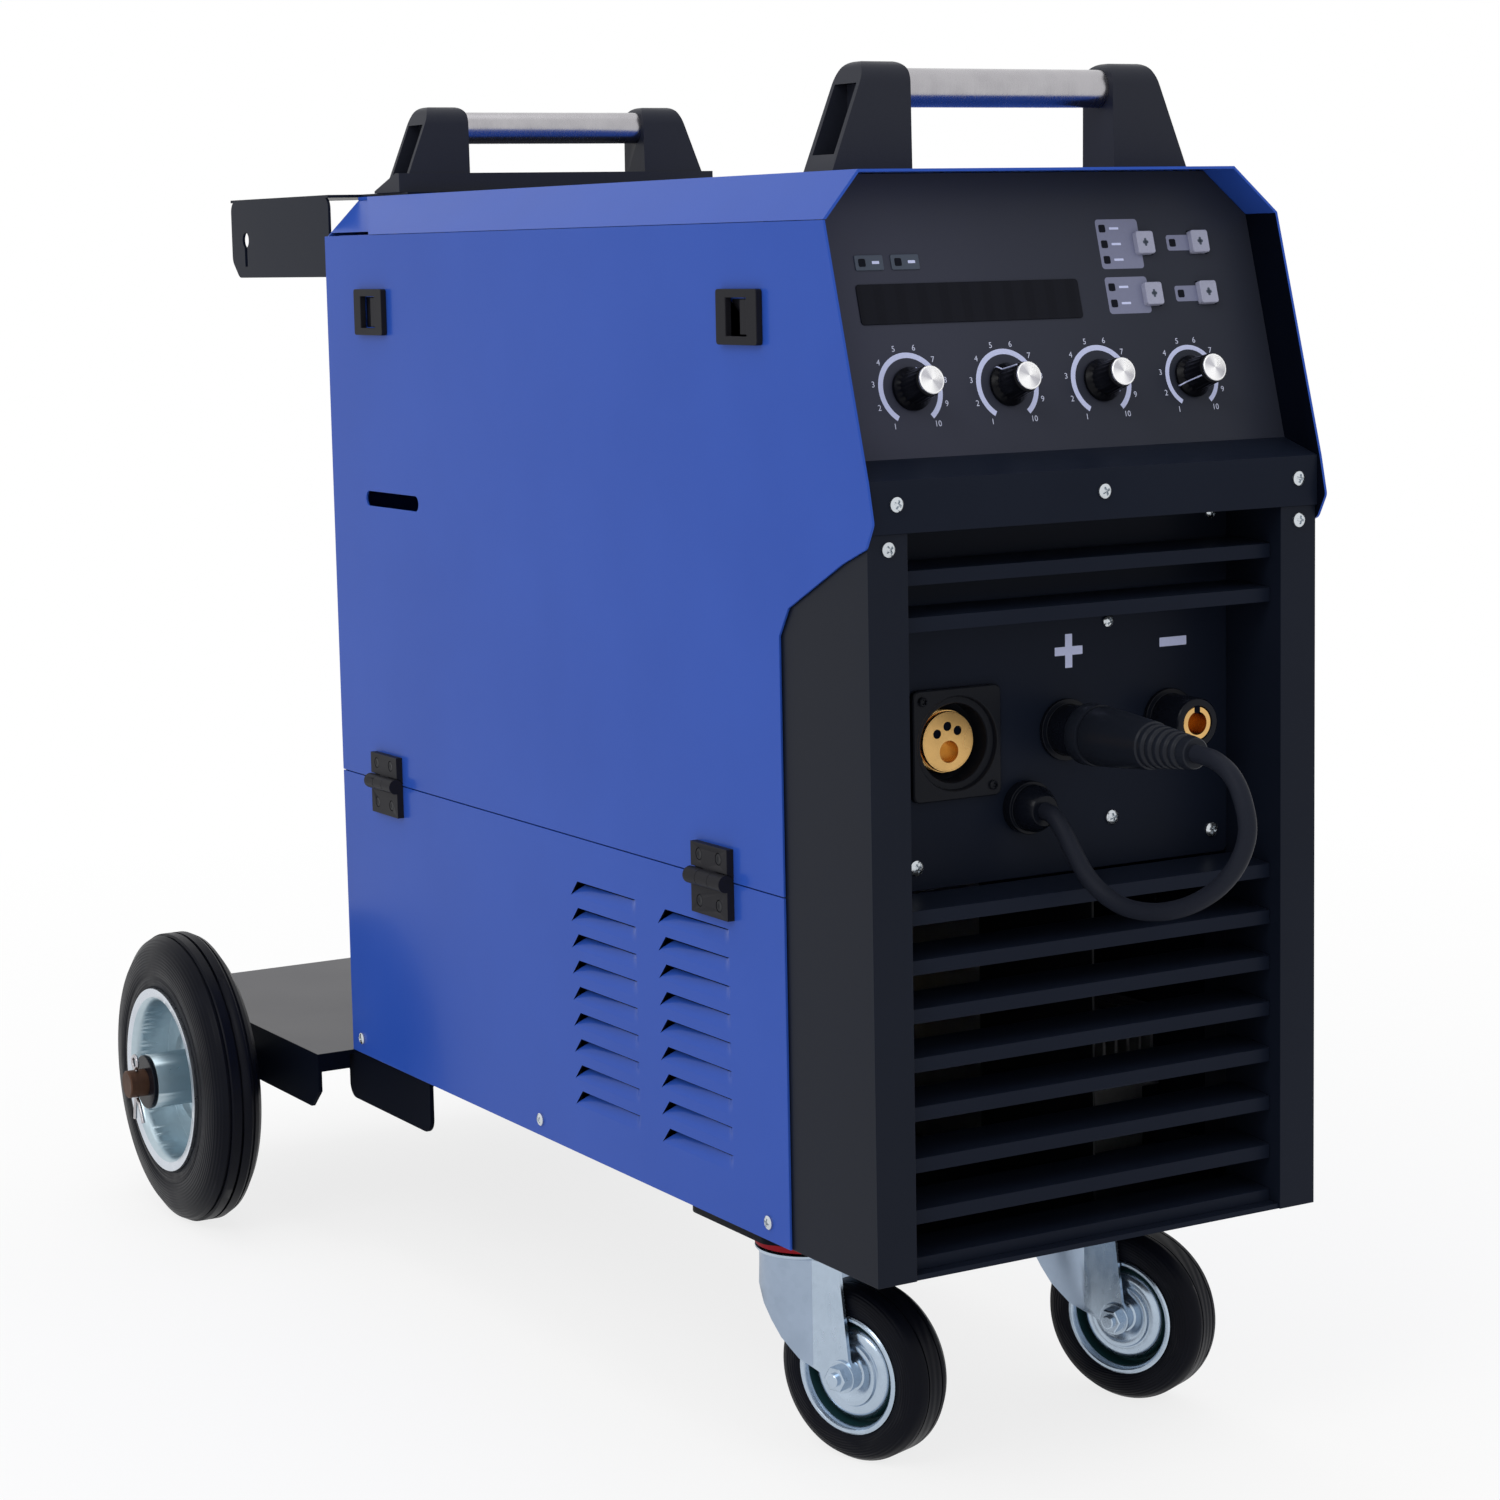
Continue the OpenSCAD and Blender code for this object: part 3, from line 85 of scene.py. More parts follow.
@dataclass(frozen=True)
class MachineFrame:
    """The machine's own millimetres and how they lie in the row frame."""

    mid_y: float = 485.0
    floor_z: float = -142.5

    def row(self, points: np.ndarray) -> np.ndarray:
        """Machine millimetres to row-frame metres: shift the middle and the floor to zero, then divide."""
        return (np.asarray(points, float) - (0.0, self.mid_y, self.floor_z)) / 1000.0

    def own(self, points: np.ndarray) -> np.ndarray:
        """Row-frame metres to machine millimetres."""
        return points * 1000.0 + (0.0, self.mid_y, self.floor_z)


@dataclass(frozen=True)
class ConsolePlane:
    """The sloping console: u runs across, v up the slope and w out of it."""

    foot: Pair = (27.0, 442.0)
    head: Pair = (69.0, 593.2)

    @property
    def up(self) -> np.ndarray:
        """The slope's direction in (y, z)."""
        slope = np.subtract(self.head, self.foot)
        return slope / np.hypot(*slope)

    def place(self, points: np.ndarray) -> np.ndarray:
        """(u, v, w) to machine millimetres: the foot plus v along the slope plus w along its normal.

        Args:
            points: rows of (u, v, w).

        Returns:
            The same points as rows of (x, y, z).
        """
        up = self.up
        u, v, w = np.moveaxis(np.asarray(points, float), -1, 0)
        y = self.foot[0] + v * up[0] - w * up[1]
        z = self.foot[1] + v * up[1] + w * up[0]
        return np.stack([u, y, z], axis=-1)


@dataclass(frozen=True)
class UprightPlane:
    """A flat face that looks to -Y: u runs across, v up and w out of it."""

    y: float

    def place(self, points: np.ndarray) -> np.ndarray:
        """(u, v, w) to machine millimetres: w comes off the face's own y."""
        u, v, w = np.moveaxis(np.asarray(points, float), -1, 0)
        return np.stack([u, self.y - w, v], axis=-1)


Plane = ConsolePlane | UprightPlane
MACHINE = MachineFrame()
CONSOLE = ConsolePlane()


# ---------------------------------------------------------------- meshes


def link(name: str, data: object) -> Piece:
    """Puts a new object with some data into the scene.

    Args:
        name: the object's name.
        data: its mesh, curve, lamp or camera.

    Returns:
        The new object.
    """
    made = bpy.data.objects.new(name, data)
    bpy.context.scene.collection.objects.link(made)
    return made


def smooth(mesh: bpy.types.Mesh, sharp: float) -> None:
    """Shades a mesh smooth, but for edges that turn by more than sharp degrees."""
    mesh.shade_smooth()
    mesh.set_sharp_from_angle(angle=math.radians(sharp))


def piece_from(name: str, shapes: Sequence[Shape], sharp: float = 32.0) -> Piece:
    """Makes one piece from closed shapes.

    Args:
        name: the piece's name.
        shapes: points in machine millimetres and faces as lists of their numbers.
        sharp: edges that turn by more than this many degrees stay sharp.

    Returns:
        The new object, which lies at the origin with its place in its mesh.
    """
    faces, start = [], 0
    for points, theirs in shapes:
        faces += [[start + i for i in face] for face in theirs]
        start += len(points)
    mesh = bpy.data.meshes.new(name)
    mesh.from_pydata(MACHINE.row(np.concatenate([points for points, _ in shapes])).tolist(), [], faces)
    work = bmesh.new()
    work.from_mesh(mesh)
    bmesh.ops.remove_doubles(work, verts=work.verts, dist=1e-6)
    bmesh.ops.recalc_face_normals(work, faces=work.faces)
    work.to_mesh(mesh)
    work.free()
    smooth(mesh, sharp)
    return link(name, mesh)


def lofted(rings: np.ndarray, caps: bool = True, wrap: bool = False) -> Shape:
    """Joins rings of points with quads: (i, j), (i, j+1), (i+1, j+1) and (i+1, j).

    Args:
        rings: an array of k closed rings of n points.
        caps: the first and last rings are filled.
        wrap: the last ring joins the first, and nothing is filled.

    Returns:
        The points as rows and the faces as lists.
    """
    number = np.arange(rings.shape[0] * rings.shape[1]).reshape(rings.shape[:2])
    ahead = np.roll(number, -1, axis=1)
    quads = np.stack([number, ahead, np.roll(ahead, -1, axis=0), np.roll(number, -1, axis=0)], axis=-1)
    faces = (quads if wrap else quads[:-1]).reshape(-1, 4).tolist()
    if caps and not wrap:
        faces += [number[0, ::-1].tolist(), number[-1].tolist()]
    return rings.reshape(-1, 3), faces


def turned(profile: Sequence, centre: Sequence[float], axis: Sequence[float], steps: int = 64,
           ripple: Callable | None = None, place: Callable | None = None, ring: bool = False) -> Shape:
    """A turned shape.

    Point (i, t) is centre + axis * a_i + radius * (side * cos t + other * sin t), where radius is
    r_i plus what ripple gives for (a_i, t).

    Args:
        profile: rows of (distance along the axis, radius).
        centre: the point that the distances start from.
        axis: the axis' direction.
        steps: points in a circle.
        ripple: a function of two arrays, distance and angle, that gives extra radius.
        place: a function that moves the points into machine millimetres.
        ring: the profile is a closed loop; if not, it starts and ends on the axis.

    Returns:
        The points as rows and the faces as lists.
    """
    line = np.asarray(axis, float) / np.linalg.norm(axis)
    guide = np.array([0.0, 0.0, 1.0]) if abs(line[2]) < 0.9 else np.array([0.0, 1.0, 0.0])
    side = np.cross(guide, line)
    side /= np.linalg.norm(side)
    other = np.cross(line, side)
    a, r = np.asarray(profile, float).T
    turn = np.linspace(0.0, FULL_TURN, steps, endpoint=False)
    radius = r[:, None] + (0.0 if ripple is None else ripple(a[:, None], turn[None, :]))
    around = np.cos(turn)[:, None] * side + np.sin(turn)[:, None] * other
    rings = np.asarray(centre, float) + a[:, None, None] * line + radius[..., None] * around
    return lofted(rings if place is None else place(rings), caps=False, wrap=ring)


def circle(steps: int) -> np.ndarray:
    """Outline of a circle of radius 1."""
    turn = np.linspace(0, FULL_TURN, steps, endpoint=False)
    return np.column_stack([np.cos(turn), np.sin(turn)])


def rounded(width: float, height: float, radius: float, corner: int = 6) -> np.ndarray:
    """Outline of a rectangle with round corners: four quarter circles, corner points each.

    Args:
        width: the rectangle's first side.
        height: its second side.
        radius: the corners' radius.
        corner: points in a corner.

    Returns:
        Rows of two numbers about the rectangle's middle.
    """
    angle = np.arange(4)[:, None] * math.pi / 2 + np.linspace(0.0, math.pi / 2, corner)
    middle = np.stack([np.array([1, -1, -1, 1]) * (width / 2 - radius),
                       np.array([1, 1, -1, -1]) * (height / 2 - radius)], axis=-1)
    arc = radius * np.stack([np.cos(angle), np.sin(angle)], axis=-1)
    return (middle[:, None, :] + arc).reshape(-1, 2)


def raised(rows: Sequence[tuple[np.ndarray, float]], plane: Plane, at: Pair = (0.0, 0.0),
           wrap: bool = False) -> Shape:
    """A shape on a plane, lofted from outlines that each lie at a height over it."""
    rings = [np.column_stack([outline + at, np.full(len(outline), height)]) for outline, height in rows]
    return lofted(plane.place(np.stack(rings)), wrap=wrap)


def plate_on(plane: Plane, at: Pair, size: Pair, radius: float, height: float, soft: float = 0.0) -> Shape:
    """A plate with round corners that stands height proud, its upper edge drawn in by soft.

    Args:
        plane: the plane that it lies on.
        at: its middle on the plane.
        size: its two sides.
        radius: its corners' radius.
        height: its height over the plane.
        soft: width of its soft upper edge.

    Returns:
        The points as rows and the faces as lists.
    """
    outer = rounded(*size, radius)
    if soft == 0.0:
        return raised([(outer, 0.0), (outer, height)], plane, at)
    inner = rounded(size[0] - 2 * soft, size[1] - 2 * soft, max(radius - soft, 0.05))
    return raised([(outer, 0.0), (outer, height - soft), (inner, height)], plane, at)


def band_on(plane: Plane, at: Pair, radius: float, width: float, span: Pair, height: float) -> Shape:
    """A flat arc: a rectangle of the band's width and height, carried round the circle over its span.

    Args:
        plane: the plane that it lies on.
        at: the circle's middle on the plane.
        radius: the circle's radius.
        width: the band's width.
        span: the first and the last angle, in degrees.
        height: its height over the plane.

    Returns:
        The points as rows and the faces as lists.
    """
    turn = np.radians(np.linspace(*span, 48))
    corner_r = radius + np.array([-width, width, width, -width]) / 2
    u = at[0] + corner_r * np.cos(turn)[:, None]
    v = at[1] + corner_r * np.sin(turn)[:, None]
    w = np.broadcast_to(np.array([0.0, 0.0, height, height]), u.shape)
    return lofted(plane.place(np.stack([u, v, w], axis=-1)))


def lettering(words: str, size: float, at: Pair, plane: Plane, height: float) -> Shape:
    """A short number or sign, centred at a place on a plane and as thick as height.

    Args:
        words: the number or sign.
        size: the font's size.
        at: its middle on the plane.
        plane: the plane that it lies on.
        height: its height over the plane.

    Returns:
        The points as rows and the faces as lists.
    """
    curve = bpy.data.curves.new("sign", "FONT")
    curve.body, curve.size, curve.extrude = words, size, height / 2
    curve.align_x, curve.align_y = "CENTER", "CENTER"
    holder = link("sign", curve)
    mesh = bpy.data.meshes.new_from_object(holder.evaluated_get(bpy.context.evaluated_depsgraph_get()))
    flat = np.zeros(len(mesh.vertices) * 3)
    mesh.vertices.foreach_get("co", flat)
    faces = [list(face.vertices) for face in mesh.polygons]
    bpy.data.objects.remove(holder)
    bpy.data.meshes.remove(mesh)
    return plane.place(flat.reshape(-1, 3) + (at[0], at[1], height / 2)), faces


def polar_outline(outline: np.ndarray, steps: int) -> np.ndarray:
    """The same outline about its middle, as points at even angles, so that it can be lofted to a circle.

    Args:
        outline: rows of two numbers about the middle.
        steps: points in the new outline.

    Returns:
        Rows of two numbers.
    """
    ends = np.roll(outline, -1, axis=0)
    share = np.linspace(0, 1, 60, endpoint=False)[None, :, None]
    fine = (outline[:, None] + (ends - outline)[:, None] * share).reshape(-1, 2)
    angle = np.arctan2(fine[:, 1], fine[:, 0])
    order = np.argsort(angle)
    turn = np.linspace(0, FULL_TURN, steps, endpoint=False)
    wrapped = (turn + math.pi) % FULL_TURN - math.pi
    return np.column_stack([np.interp(wrapped, angle[order], fine[order, k], period=FULL_TURN)
                            for k in (0, 1)])


def pierced(outline: np.ndarray, holes: Sequence[np.ndarray], front: Callable, back: Callable) -> Shape:
    """A flat plate with holes.

    Args:
        outline: the plate's outline, rows of two numbers.
        holes: the outlines of its holes.
        front: a function that places such rows on the plate's front.
        back: the same for its back.

    Returns:
        The points as rows and the faces as lists.
    """
    loops = [np.asarray(loop, float) for loop in (outline, *holes)]
    flat = [[Vector((a, b, 0.0)) for a, b in loop] for loop in loops]
    triangles = [list(face) for face in tessellate_polygon(flat)]
    points = np.vstack(loops)
    count, start = len(points), 0
    faces = triangles + [[count + i for i in face[::-1]] for face in triangles]
    for loop in loops:
        own = np.arange(start, start + len(loop))
        ahead = np.roll(own, -1)
        faces += np.stack([own, ahead, ahead + count, own + count], axis=-1).tolist()
        start += len(loop)
    return np.vstack([front(points), back(points)]), faces


def tube(line: np.ndarray, radius: float, steps: int, ends: Sequence | None = None) -> Shape:
    """A round rod along a line: each ring lies square to the line.

    Args:
        line: the rod's middle, rows of points.
        radius: the rod's radius.
        steps: points in a ring.
        ends: the directions of the first and last ring, if they aren't the line's own.

    Returns:
        The points as rows and the faces as lists.
    """
    along = np.gradient(line, axis=0)
    if ends is not None:
        along[0], along[-1] = ends
    along /= np.linalg.norm(along, axis=1, keepdims=True)
    side = np.cross(along, (1.0, 0.0, 0.0))
    side /= np.linalg.norm(side, axis=1, keepdims=True)
    other = np.cross(along, side)
    across, up = circle(steps).T[:, None, :, None]
    return lofted(line[:, None] + radius * (across * side[:, None] + up * other[:, None]))


def softened(node: str, edge: float, segments: int = 2, sharp: float = 30.0) -> Piece:
    """Stands a copy of a CAD node with merged points and softened edges in for the node.

    Args:
        node: the CAD node's name.
        edge: width of the softened edges in millimetres, or 0 for none.
        segments: faces across a softened edge.
        sharp: edges that turn by more than this many degrees are softened, or stay sharp.

    Returns:
        The new object, which rides on the node's body.
    """
    mesh = frame["nodes"][node].data.copy()
    mesh.name = node + "_skin"
    mesh.materials.clear()
    work = bmesh.new()
    work.from_mesh(mesh)
    bmesh.ops.remove_doubles(work, verts=work.verts, dist=2e-6)
    bmesh.ops.dissolve_degenerate(work, edges=work.edges, dist=1e-6)
    bmesh.ops.dissolve_limit(work, verts=work.verts, edges=work.edges, angle_limit=math.radians(0.6))
    work.to_mesh(mesh)
    work.free()
    smooth(mesh, sharp)
    made = link(node + "_skin", mesh)
    if edge > 0:
        bevel = made.modifiers.new("edges", "BEVEL")
        bevel.width, bevel.segments = edge / 1000.0, segments
        bevel.limit_method, bevel.angle_limit = "ANGLE", math.radians(sharp)
        bevel.harden_normals = bevel.use_clamp_overlap = True
    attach(made, NODE_BODY[node])
    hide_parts(node)
    return made


def cut_out(piece: Piece, low: Sequence[float], high: Sequence[float], sharp: float) -> None:
    """Cuts a box out of a piece once its edges are soft.

    Args:
        piece: the piece, whose modifiers are worked out first.
        low: the box's lowest corner, in machine millimetres.
        high: its highest corner.
        sharp: edges that turn by more than this many degrees stay sharp.
    """
    floor = np.array([[low[0], low[1]], [high[0], low[1]], [high[0], high[1]], [low[0], high[1]]])
    walls = np.stack([np.column_stack([floor, np.full(4, z)]) for z in (low[2], high[2])])
    cutter = piece_from("cutter", [lofted(walls)])
    cut = piece.modifiers.new("cut", "BOOLEAN")
    cut.operation, cut.solver, cut.object = "DIFFERENCE", "EXACT", cutter
    graph = bpy.context.evaluated_depsgraph_get()
    mesh = bpy.data.meshes.new_from_object(piece.evaluated_get(graph))
    piece.modifiers.clear()
    piece.data = mesh
    smooth(mesh, sharp)
    bpy.data.objects.remove(cutter)


# ---------------------------------------------------------------- shaders


def wired(operation: str, swapped: bool = False) -> Callable:
    """A method of Wire that joins the wire and its argument, or the two swapped, to a Math node.

    Args:
        operation: the Math node's operation.
        swapped: the wire is the second value, not the first.

    Returns:
        The method.
    """
    def method(self: "Wire", *others: "Wire | float") -> "Wire":
        """The Math node's output."""
        values = (self, *others)
        return self.sheet.math(operation, *(values[::-1] if swapped else values))

    return method


@dataclass(frozen=True, eq=False)
class Wire:
    """A shader socket. Sums, products and comparisons of wires and numbers add Math nodes."""

    sheet: "NodeSheet"
    socket: bpy.types.NodeSocket

    __add__, __radd__ = wired("ADD"), wired("ADD", True)
    __sub__, __rsub__ = wired("SUBTRACT"), wired("SUBTRACT", True)
    __mul__, __rmul__ = wired("MULTIPLY"), wired("MULTIPLY", True)
    __gt__, __lt__ = wired("GREATER_THAN"), wired("LESS_THAN")
    __abs__, sine, root = wired("ABSOLUTE"), wired("SINE"), wired("SQRT")
    angle_to, either = wired("ARCTAN2"), wired("MAXIMUM")

    def ramp(self, low: float, high: float) -> "Wire":
        """0 below low, 1 above high and an even slope between."""
        return self.sheet.node("ShaderNodeMapRange", {"clamp": True},
                               {"Value": self, "From Min": low, "From Max": high})

    def between(self, low: float, high: float) -> "Wire":
        """1 where the value lies between two limits, else 0."""
        return (self > low) * (self < high)


class NodeSheet:
    """The node tree of a material or a world, with one method that adds any node."""

    def __init__(self, owner: "str | bpy.types.World") -> None:
        """Starts an empty material of that name, or empties the world.

        Args:
            owner: the new material's name, or a world.
        """
        self.material = bpy.data.materials.new(owner) if isinstance(owner, str) else owner
        self.material.use_nodes = True
        self.tree = self.material.node_tree
        self.tree.nodes.clear()

    def node(self, kind: str, settings: dict | None = None, inputs: dict | None = None,
             output: str | int = 0) -> Wire:
        """Adds a node.

        Args:
            kind: the node's type.
            settings: attributes that are set first.
            inputs: socket name or number to a value or a wire.
            output: name or number of the socket that is wanted.

        Returns:
            The wanted output.
        """
        made = self.tree.nodes.new(kind)
        for key, value in (settings or {}).items():
            setattr(made, key, value)
        for key, value in (inputs or {}).items():
            if isinstance(value, Wire):
                self.tree.links.new(value.socket, made.inputs[key])
            else:
                made.inputs[key].default_value = value
        return Wire(self, made.outputs[output])

    def math(self, operation: str, *values: "Wire | float") -> Wire:
        """A Math node on one or two values."""
        return self.node("ShaderNodeMath", {"operation": operation}, dict(enumerate(values)))

    def place(self) -> Wire:
        """Object coordinates, in metres."""
        return self.node("ShaderNodeTexCoord", output="Object")

    def axes(self) -> tuple[Wire, Wire, Wire]:
        """Object coordinates in machine millimetres, as three wires.

        Returns:
            The wires of x, y and z.
        """
        split = self.node("ShaderNodeSeparateXYZ", inputs={"Vector": self.place()}).socket.node
        x, y, z = (Wire(self, split.outputs[i]) for i in range(3))
        return x * 1000.0, y * 1000.0 + MACHINE.mid_y, z * 1000.0 + MACHINE.floor_z

    def distance(self, first: Wire, second: Wire, at: Pair) -> Wire:
        """Distance of two coordinates from a point: the root of the sum of the squares."""
        a, b = first - at[0], second - at[1]
        return (a * a + b * b).root()

    def noise(self, size: float, detail: float = 2.0, stretch: tuple = (1.0, 1.0, 1.0)) -> Wire:
        """Noise whose lumps are about size millimetres, drawn out along the axes by stretch.

        Args:
            size: the lumps' size.
            detail: the noise's detail.
            stretch: how far it is drawn out along x, y and z.

        Returns:
            The noise, about 0.5.
        """
        scale = tuple(1.0 / s for s in stretch)
        moved = self.node("ShaderNodeMapping", inputs={"Vector": self.place(), "Scale": scale})
        return self.node("ShaderNodeTexNoise", inputs={"Vector": moved, "Scale": 1000.0 / size,
                                                       "Detail": detail}, output="Fac")

    def mix(self, share: "Wire | float", first: "Wire | Colour", second: "Wire | Colour") -> Wire:
        """Mixes two colours, from the first at 0 to the second at 1."""
        pick = [value if isinstance(value, Wire) else (*value, 1.0) for value in (first, second)]
        return self.node("ShaderNodeMix", {"data_type": "RGBA"}, {0: share, 6: pick[0], 7: pick[1]}, 2)

    def bump(self, height: Wire, depth: float) -> Wire:
        """A bump whose height of 1 stands depth millimetres proud."""
        return self.node("ShaderNodeBump", inputs={"Height": height, "Distance": depth / 1000.0,
                                                   "Strength": 1.0})

    def seen(self) -> Wire:
        """1 for rays of the camera and for rays that gloss or glass sends on, else 0.

        Returns:
            The mask.
        """
        camera, gloss, glass = (self.node("ShaderNodeLightPath", output=f"Is {kind} Ray")
                                for kind in ("Camera", "Glossy", "Transmission"))
        return camera.either(gloss).either(glass)

    def finish(self, **sockets: "Wire | float | Colour") -> Material:
        """Ends the tree with a Principled shader whose sockets are named with underscores for spaces.

        Args:
            sockets: the sockets' values or wires.

        Returns:
            The material.
        """
        inputs = {key.replace("_", " "): (*value, 1.0) if isinstance(value, tuple) else value
                  for key, value in sockets.items()}
        self.output(self.node("ShaderNodeBsdfPrincipled", inputs=inputs))
        return self.material

    def output(self, shader: Wire, kind: str = "ShaderNodeOutputMaterial") -> None:
        """Joins a shader to the tree's output."""
        self.tree.links.new(shader.socket, self.tree.nodes.new(kind).inputs["Surface"])


# ---------------------------------------------------------------- finishes


@dataclass(frozen=True)
class PowderCoat:
    """Baked powder paint: a fine orange peel, slight clouds in its colour and a clear gloss."""

    name: str
    colour: Colour
    cloud: Colour
    roughness: float
    shine: float
    gloss: float = 0.0
    peel: float = 2.4
    depth: float = 0.012

    def material(self) -> Material:
        """Builds the paint.

        Returns:
            The material.
        """
        sheet = NodeSheet(self.name)
        clouds = sheet.noise(90.0, 3.0)
        grain = sheet.noise(0.7)
        peel = sheet.noise(self.peel)
        return sheet.finish(Base_Color=sheet.mix(clouds.ramp(0.3, 0.75), self.colour, self.cloud),
                            Roughness=self.roughness + 0.10 * (clouds - 0.5) + 0.06 * (grain - 0.5),
                            Normal=sheet.bump(peel + 0.25 * grain, self.depth),
                            Specular_IOR_Level=self.shine, Coat_Weight=self.gloss, Coat_Roughness=0.1)


@dataclass(frozen=True)
class ConsoleFilm:
    """Matt printed film on the console with a fine emboss, its colour paler towards its left end as a painted
    sheen.
    """

    left: Colour = (0.040, 0.043, 0.066)
    right: Colour = (0.0225, 0.0258, 0.0390)
    span: Pair = (-145.0, 60.0)

    def material(self) -> Material:
        """Builds the film: its colour goes evenly from the left one to the right one over the span, a painted
        sheen.

        Returns:
            The material.
        """
        sheet = NodeSheet("console_film")
        x, _, _ = sheet.axes()
        clouds = sheet.noise(70.0, 3.0)
        # Painted sheen: the film is paler at the left end and darker to the right.
        share = x.ramp(*self.span) + 0.12 * (clouds - 0.5)
        return sheet.finish(Base_Color=sheet.mix(share, self.left, self.right),
                            Roughness=0.42 + 0.08 * (clouds - 0.5),
                            Normal=sheet.bump(sheet.noise(0.9), 0.01), Specular_IOR_Level=0.12)


@dataclass(frozen=True)
class Moulding:
    """Moulded plastic or rubber with a fine spark grain."""

    name: str
    colour: Colour
    roughness: float
    shine: float
    grain: float = 0.6
    depth: float = 0.02

    def material(self) -> Material:
        """Builds the plastic: a grain of small lumps and a slow change of sheen.

        Returns:
            The material.
        """
        sheet = NodeSheet(self.name)
        lumps = sheet.noise(self.grain, 3.0)
        slow = sheet.noise(40.0)
        paler = tuple(c * 1.35 + 0.002 for c in self.colour)
        share = lumps.ramp(0.35, 0.8) * 0.5 + slow * 0.3
        return sheet.finish(Base_Color=sheet.mix(share, self.colour, paler),
                            Roughness=self.roughness + 0.12 * (slow - 0.5) + 0.1 * (lumps - 0.5),
                            Normal=sheet.bump(lumps, self.depth), Specular_IOR_Level=self.shine)


@dataclass(frozen=True)
class ZincPlate:
    """Bright zinc on pressed steel: soft spangle, fine rolling lines and a cool tint."""

    name: str
    colour: Colour = (0.46, 0.55, 0.66)
    dull: Colour = (0.34, 0.42, 0.51)
    roughness: float = 0.24

    def material(self) -> Material:
        """Builds the plate.

        Returns:
            The material.
        """
        sheet = NodeSheet(self.name)
        spangle = sheet.node("ShaderNodeTexVoronoi", inputs={"Vector": sheet.place(), "Scale": 260.0},
                             output="Color")
        value = sheet.node("ShaderNodeSeparateColor", inputs={"Color": spangle})
        streak = sheet.noise(3.0, 3.0, (1.0, 1.0, 8.0))
        stain = sheet.noise(22.0, 4.0).ramp(0.42, 0.8)
        return sheet.finish(Base_Color=sheet.mix(stain * 0.45 + value * 0.12, self.colour, self.dull),
                            Roughness=self.roughness + 0.05 * (value - 0.5) + 0.12 * (streak - 0.5),
                            Metallic=0.95, Normal=sheet.bump(streak, 0.004))


@dataclass(frozen=True)
class TurnedMetal:
    """Metal with fine tool lines round an axis, as on a turned or brushed part."""

    name: str
    colour: Colour
    dull: Colour
    roughness: float
    stretch: tuple[float, float, float]
    line: float = 1.2
    depth: float = 0.01

    def material(self) -> Material:
        """Builds the metal: noise drawn out along the tool's way, for the bump and the sheen.

        Returns:
            The material.
        """
        sheet = NodeSheet(self.name)
        lines = sheet.noise(self.line, 3.0, self.stretch)
        stain = sheet.noise(15.0, 3.0)
        share = stain.ramp(0.4, 0.8) * 0.6 + lines * 0.25
        return sheet.finish(Base_Color=sheet.mix(share, self.colour, self.dull), Metallic=1.0,
                            Roughness=self.roughness + 0.2 * (lines - 0.5) + 0.1 * (stain - 0.5),
                            Normal=sheet.bump(lines, self.depth))


@dataclass(frozen=True)
class TyreRubber:
    """Solid rubber with fine mould rings on its sides round the wheel's own axis."""

    name: str
    centre: Pair
    pitch: float
    colour: Colour = (0.0028, 0.0034, 0.0070)
    bloom: Colour = (0.0056, 0.0068, 0.0120)

    def material(self) -> Material:
        """Builds the rubber: rings are a sine of the distance from the axle.

        Returns:
            The material.
        """
        sheet = NodeSheet(self.name)
        _, y, z = sheet.axes()
        rings = (sheet.distance(y, z, self.centre) * (FULL_TURN / self.pitch)).sine()
        bloom = sheet.noise(30.0, 4.0)
        grain = sheet.noise(0.9)
        return sheet.finish(Base_Color=sheet.mix(bloom.ramp(0.45, 0.8) * 0.6, self.colour, self.bloom),
                            Roughness=0.40 + 0.2 * (bloom - 0.5), Specular_IOR_Level=0.08,
                            Normal=sheet.bump(rings * 0.5 + grain * 0.15, 0.16))


@dataclass(frozen=True)
class Print:
    """Screen print: flat ink with a slightly uneven gloss."""

    name: str
    colour: Colour

    def material(self) -> Material:
        """Builds the ink.

        Returns:
            The material.
        """
        sheet = NodeSheet(self.name)
        mottle = sheet.noise(1.5)
        paler = tuple(min(1.0, c * 1.12) for c in self.colour)
        return sheet.finish(Base_Color=sheet.mix(mottle, self.colour, paler), Specular_IOR_Level=0.3,
                            Roughness=0.45 + 0.15 * (mottle - 0.5), Normal=sheet.bump(mottle, 0.004))


@dataclass(frozen=True)
class Lens:
    """Smoked window over the display, with dark digit blocks behind it and faint wiping marks."""

    pitch: float = 14.0
    gap: Colour = (0.0085, 0.0092, 0.0140)
    block: Colour = (0.0052, 0.0056, 0.0088)

    def material(self) -> Material:
        """Builds the window: the blocks are a slow wave along X.

        Returns:
            The material.
        """
        sheet = NodeSheet("smoked_window")
        x, _, _ = sheet.axes()
        blocks = (x * (FULL_TURN / self.pitch)).sine().ramp(0.1, 0.3)
        scratch = sheet.noise(1.2, 2.0, (1.0, 1.0, 14.0))
        return sheet.finish(Base_Color=sheet.mix(blocks * 0.35, self.gap, self.block),
                            Roughness=0.3 + 0.12 * sheet.noise(25.0, 3.0),
                            Normal=sheet.bump(scratch, 0.003), Specular_IOR_Level=0.05)


